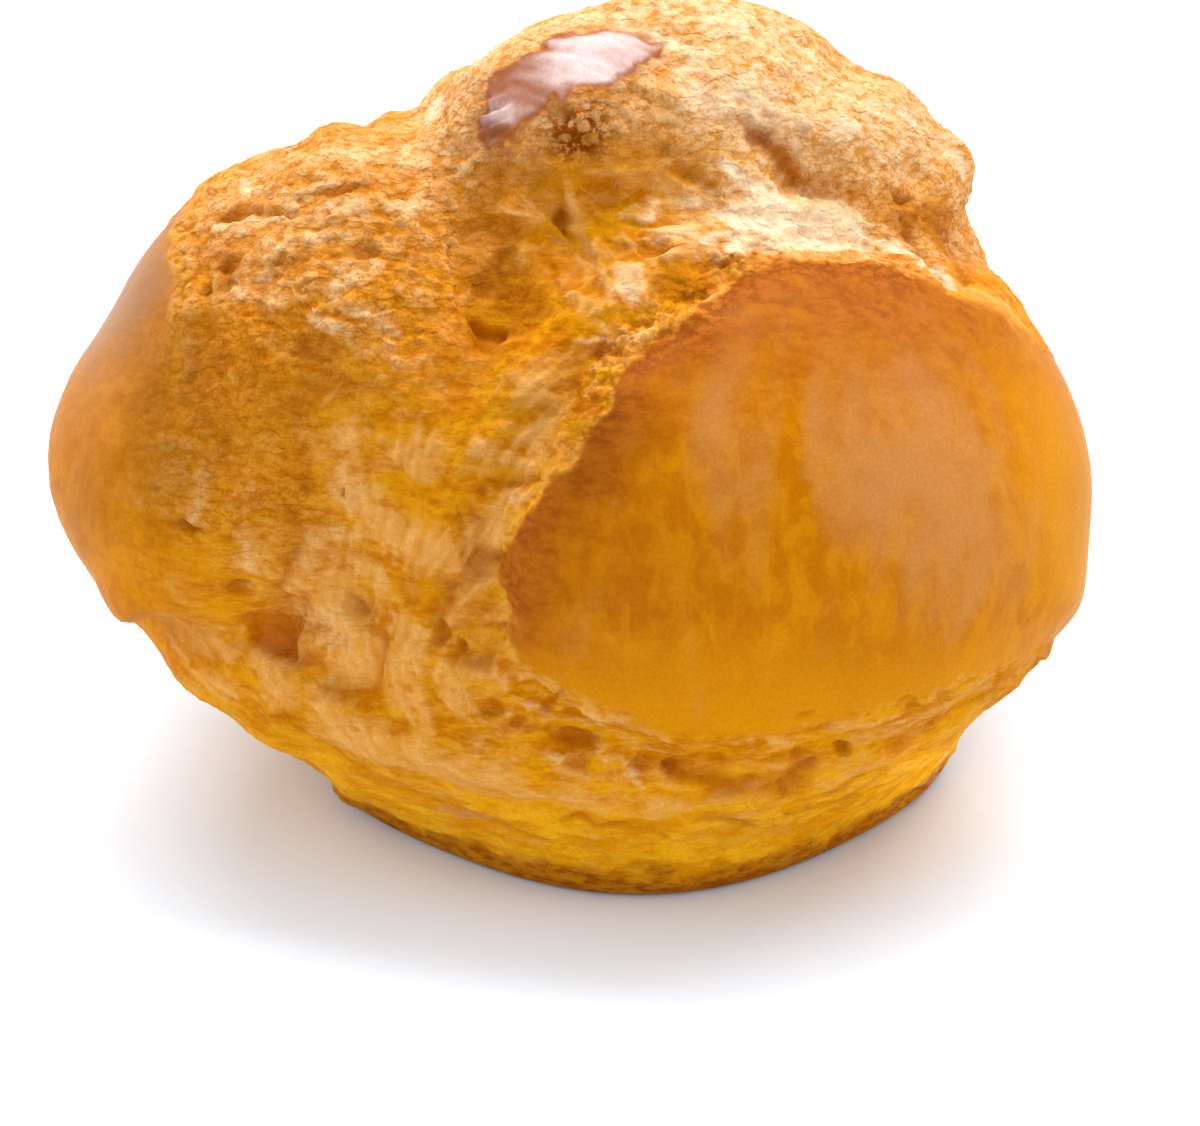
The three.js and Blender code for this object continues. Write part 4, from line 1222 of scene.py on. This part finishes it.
def crust_material():
    """Baked egg dough: glossy golden domes, pale torn membranes, sandy crust, toasted edges."""
    nodes = Nodes(SLOT)
    span, total, times, mix, blend = nodes.span, nodes.total, nodes.times, nodes.mix, nodes.blend
    place = nodes.millimetres()
    level = nodes.stretched(place, (0.5, 0.7, 1.25))
    speck = nodes.grain(place, 0.22, 1.0, 0.7)
    fine = nodes.grain(level, 0.7, 2.0, 0.7)
    middle = nodes.grain(level, 2.2, 2.0, 0.6)
    broad = nodes.grain(level, 3.8, 3.0, 0.6, 0.8)
    brushed = nodes.grain(nodes.stretched(place, (1.0, 1.0, 0.5)), 1.8, 3.0, 0.6, 0.5)
    cells = nodes.cells(nodes.stretched(place, (0.75, 0.85, 1.2)), 0.6)
    scales = span(nodes.grain(level, 1.0, 1.0, 0.7), 0.45, 0.55)
    smooth, sandy, glaze, drift, pale, toast, deep, rim = nodes.fields(
        "smooth", "sandy", "glaze", "drift", "pale", "toast", "deep", "rim")
    streak, reflection_and_pink_tone, band, edge, crumbs, wash, burn, low, high = nodes.fields(
        "streak", "reflection_and_pink_tone", "band", "edge", "crumbs", "wash", "burn", "low", "high")
    sheen, fibre, milk_and_highlight, shine, peak, yellow, grey_sheen_left, painted_light_and_tone = nodes.fields(
        "sheen", "fibre", "milk_and_highlight", "shine", "peak", "yellow", "grey_sheen_left", "painted_light_and_tone")
    from_crack, from_strand = nodes.fields("crack", "strand")
    torn = nodes.maths("SUBTRACT", 1.0, smooth)
    crack = times(nodes.thin(from_crack, 0.6), span(middle, 0.35, 0.6))
    strand = times(nodes.thin(from_strand, 0.45), span(middle, 0.6, 0.35))
    grit = total((fine, 0.35), (speck, 0.30), (cells, 0.35))
    mottle = total((middle, 0.6), (fine, 0.4))

    # Torn crust: saturated gold, with ragged pale membranes along the fibres. Low down near the table the
    # gold is painted lighter, as light bounced from the table.
    gold = mix(low, blend("gold", mottle, 0.38, 0.62), blend("bounce_lit_gold", mottle, 0.38, 0.62))
    share = total((wash, 0.34), (broad, 0.70), (streak, 0.08), (fibre, 0.12), (fine, 0.36), (yellow, -0.06))
    colour = mix(span(share, 0.56, 0.88), gold, blend("membrane", fibre, 0.2, 0.8))

    # Sandy crust: orange crumb under ragged cream. Cream on the top and on the crumb's tops and orange in its
    # hollows are partly painted light and shade.
    lightest = nodes.maths("MAXIMUM", wash, times(high, 0.8))
    share = total((lightest, 0.62), (broad, 0.30), (peak, 0.24), (scales, 0.12), (streak, 0.10))
    sand = mix(span(share, 0.30, 1.05), blend("sand", grit, 0.36, 0.62), blend("cream", grit, 0.36, 0.58))
    colour = mix(times(sandy, 0.95), colour, sand)
    scorching = span(total((burn, 0.6), (fine, 0.3), (middle, 0.3)), 0.40, 0.85, 0.0, 0.9)
    colour = mix(scorching, colour, blend("scorched", fine, 0.35, 0.65))

    # Whole, glossy skin. Its pinkish coat on the dome and its sheen and grey along the left lobe's edge are
    # painted reflections; on the back domes the pink is a tone at random.
    reflection_and_tone = total((reflection_and_pink_tone, 0.60), (drift, 0.60), (broad, 0.25), (brushed, 0.25))
    skin = blend("skin", brushed, 0.36, 0.66)
    for share, coat in (
        (times(band, 0.85), "band"),
        (span(reflection_and_tone, 0.60, 1.30, 0.0, 0.95), "reflection_and_tone"),
        (times(sheen, span(brushed, 0.2, 0.6, 0.7, 1.0)), "sheen"),
        (grey_sheen_left, "grey_sheen"),
    ):
        skin = mix(share, skin, COATS[coat])
    colour = mix(smooth, colour, skin)

    # Edges, strands, cracks and hollows, one coat over another. Pale on raised lines and rims is partly
    # painted light, and the deep and crack coats are painted shade in hollows and cracks.
    brown = blend("brown", fine, 0.35, 0.65)
    for share, coat in (
        (span(total((pale, 0.6), (fine, 0.5)), 0.45, 0.85, 0.0, 0.85), COATS["pale_edge"]),
        (times(edge, span(cells, 0.35, 0.6)), COATS["flaky_edge"]),
        (span(total((milk_and_highlight, 0.7), (fine, 0.5)), 0.35, 0.85), COATS["milk_and_highlight"]),
        (times(strand, times(torn, 0.4)), COATS["strand"]),
        (times(toast, span(mottle, 0.3, 0.6, 0.6, 1.0)), brown),
        (times(crumbs, span(grit, 0.54, 0.42)), COATS["crumb"]),
        (times(deep, 0.6), COATS["deep"]),
        (times(crack, times(torn, 0.35)), COATS["crack"]),
        (times(rim, span(fine, 0.3, 0.6, 0.95, 0.6)), COATS["rim"]),
    ):
        colour = mix(share, colour, coat)

    # The glazed patch with its painted highlight, then dust, then the painted light and shade over all.
    shining = total((shine, 0.8), (streak, 0.5), (fibre, 0.3), (brushed, 0.4))
    inner = span(total((glaze, 1.0), (brushed, 0.5)), 0.65, 1.25)
    mauve_and_highlight = mix(inner, COATS["glaze_edge"], blend("mauve_and_highlight", shining, 0.5, 1.5))
    colour = mix(span(total((glaze, 1.0), (middle, 0.6)), 0.45, 1.05), colour, mauve_and_highlight)
    colour = mix(1.0, colour, blend("dust", speck, 0.35, 0.65), "MULTIPLY")
    colour = nodes.scaled(colour, painted_light_and_tone)

    coarse = times(nodes.maths("MAXIMUM", torn, crumbs), span(sandy, 0.0, 1.0, 0.5, 1.0))
    coarse = times(coarse, nodes.maths("SUBTRACT", 1.0, glaze))
    strength = span(coarse, 0.0, 1.0, 0.06, 0.75)
    height = total((speck, 0.35), (cells, 0.45), (scales, 0.35))
    bump = nodes.set(nodes.add("ShaderNodeBump"), Strength=strength, Distance=BUMP_HEIGHT * MM, Height=height)
    gloss = nodes.maths("MAXIMUM", times(smooth, 0.75), glaze)
    gloss = span(gloss, 0.0, 1.0, 0.65, 0.40)
    nodes.set(nodes.shader, Base_Color=colour, Roughness=gloss, Normal=bump.outputs["Normal"])
    nodes.set(nodes.shader, Specular_IOR_Level=0.025)
    return nodes.material


def table_material():
    nodes = Nodes("white_table")
    fine = nodes.grain(nodes.millimetres(), 1.2, 3.0, 0.5)
    colour = nodes.mix(fine, *BLENDS["table"])
    nodes.set(nodes.shader, Base_Color=colour, Roughness=0.7, Specular_IOR_Level=0.1)
    return nodes.material


# ------------------------------------------------------------------ the shell


form_points, triangles, craggy_share, whole_shares = shell_form()
low, high = (np.array(corner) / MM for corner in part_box(SHELL))
middle = (form_points.min(0) + form_points.max(0)) / 2
SHIFT = np.array([(low[0] + high[0]) / 2 - middle[0], (low[1] + high[1]) / 2 - middle[1], low[2]])
dressed_points, fields = dress_crust(form_points, triangles, craggy_share, whole_shares)
crust = mesh_piece("crust", dressed_points + SHIFT, triangles, fields)
crust.data.materials.append(crust_material())
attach(crust, "root")
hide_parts(SHELL)

# ------------------------------------------------------------------ table, camera and light

# The way towards the brighter side of the surroundings, and their strength on both sides.
SKY_LEAN = (0.15, 0.70, 0.70)
SKY_DIM = 0.47
SKY_BRIGHT = 1.05

# Soft lights that look at the shell: place and size in metres, power in watts.
LIGHTS = {
    "overhead": ((0.10, 0.42, 0.80), (1.4, 0.5), 13.9),
    "right": ((0.75, -0.05, 0.40), (0.4, 0.4), 0.6),
    "front": ((0.15, -0.80, 0.28), (1.2, 0.4), 1.2),
    "left": ((-0.75, 0.20, 0.30), (0.5, 0.4), 2.6),
}


def aim(name, data, place, target):
    """An object at `place` that looks at `target`, both in metres."""
    thing = bpy.data.objects.new(name, data)
    bpy.context.scene.collection.objects.link(thing)
    thing.location = place
    thing.rotation_euler = (Vector(target) - Vector(place)).to_track_quat("-Z", "Y").to_euler()
    return thing


camera_data = bpy.data.cameras.new("camera")
camera_data.sensor_width = SENSOR_WIDTH
camera_data.lens = SENSOR_WIDTH * CAMERA_DISTANCE * PIXELS_PER_MM / PHOTO_SIZE[0]
bpy.context.scene.camera = aim("camera", camera_data, (EYE + SHIFT) * MM, (LOOK_AT + SHIFT) * MM)

bpy.ops.mesh.primitive_plane_add(size=6)
table = bpy.context.object
table.name = "table"
table.data.materials.append(table_material())

world = bpy.data.worlds.new("studio")
bpy.context.scene.world = world
world.use_nodes = True
tree = world.node_tree
way = tree.nodes.new("ShaderNodeTexCoord").outputs["Generated"]
lean = tree.nodes.new("ShaderNodeVectorMath")
lean.operation = "DOT_PRODUCT"
lean.inputs[1].default_value = SKY_LEAN
shade = tree.nodes.new("ShaderNodeMapRange")
for socket, number in (("From Min", -0.8), ("From Max", 0.9), ("To Min", SKY_DIM), ("To Max", SKY_BRIGHT)):
    shade.inputs[socket].default_value = number
tree.links.new(way, lean.inputs[0])
tree.links.new(lean.outputs["Value"], shade.inputs["Value"])
background = tree.nodes["Background"]
background.inputs["Color"].default_value = (1, 1, 1, 1)
tree.links.new(shade.outputs["Result"], background.inputs["Strength"])

for name, (place, size, energy) in LIGHTS.items():
    light = bpy.data.lights.new(name, "AREA")
    light.shape = "RECTANGLE"
    light.size, light.size_y = size
    light.energy = energy
    aim(name, light, place, (0.0, 0.0, 0.025))
bpy.context.scene.view_settings.view_transform = "Standard"
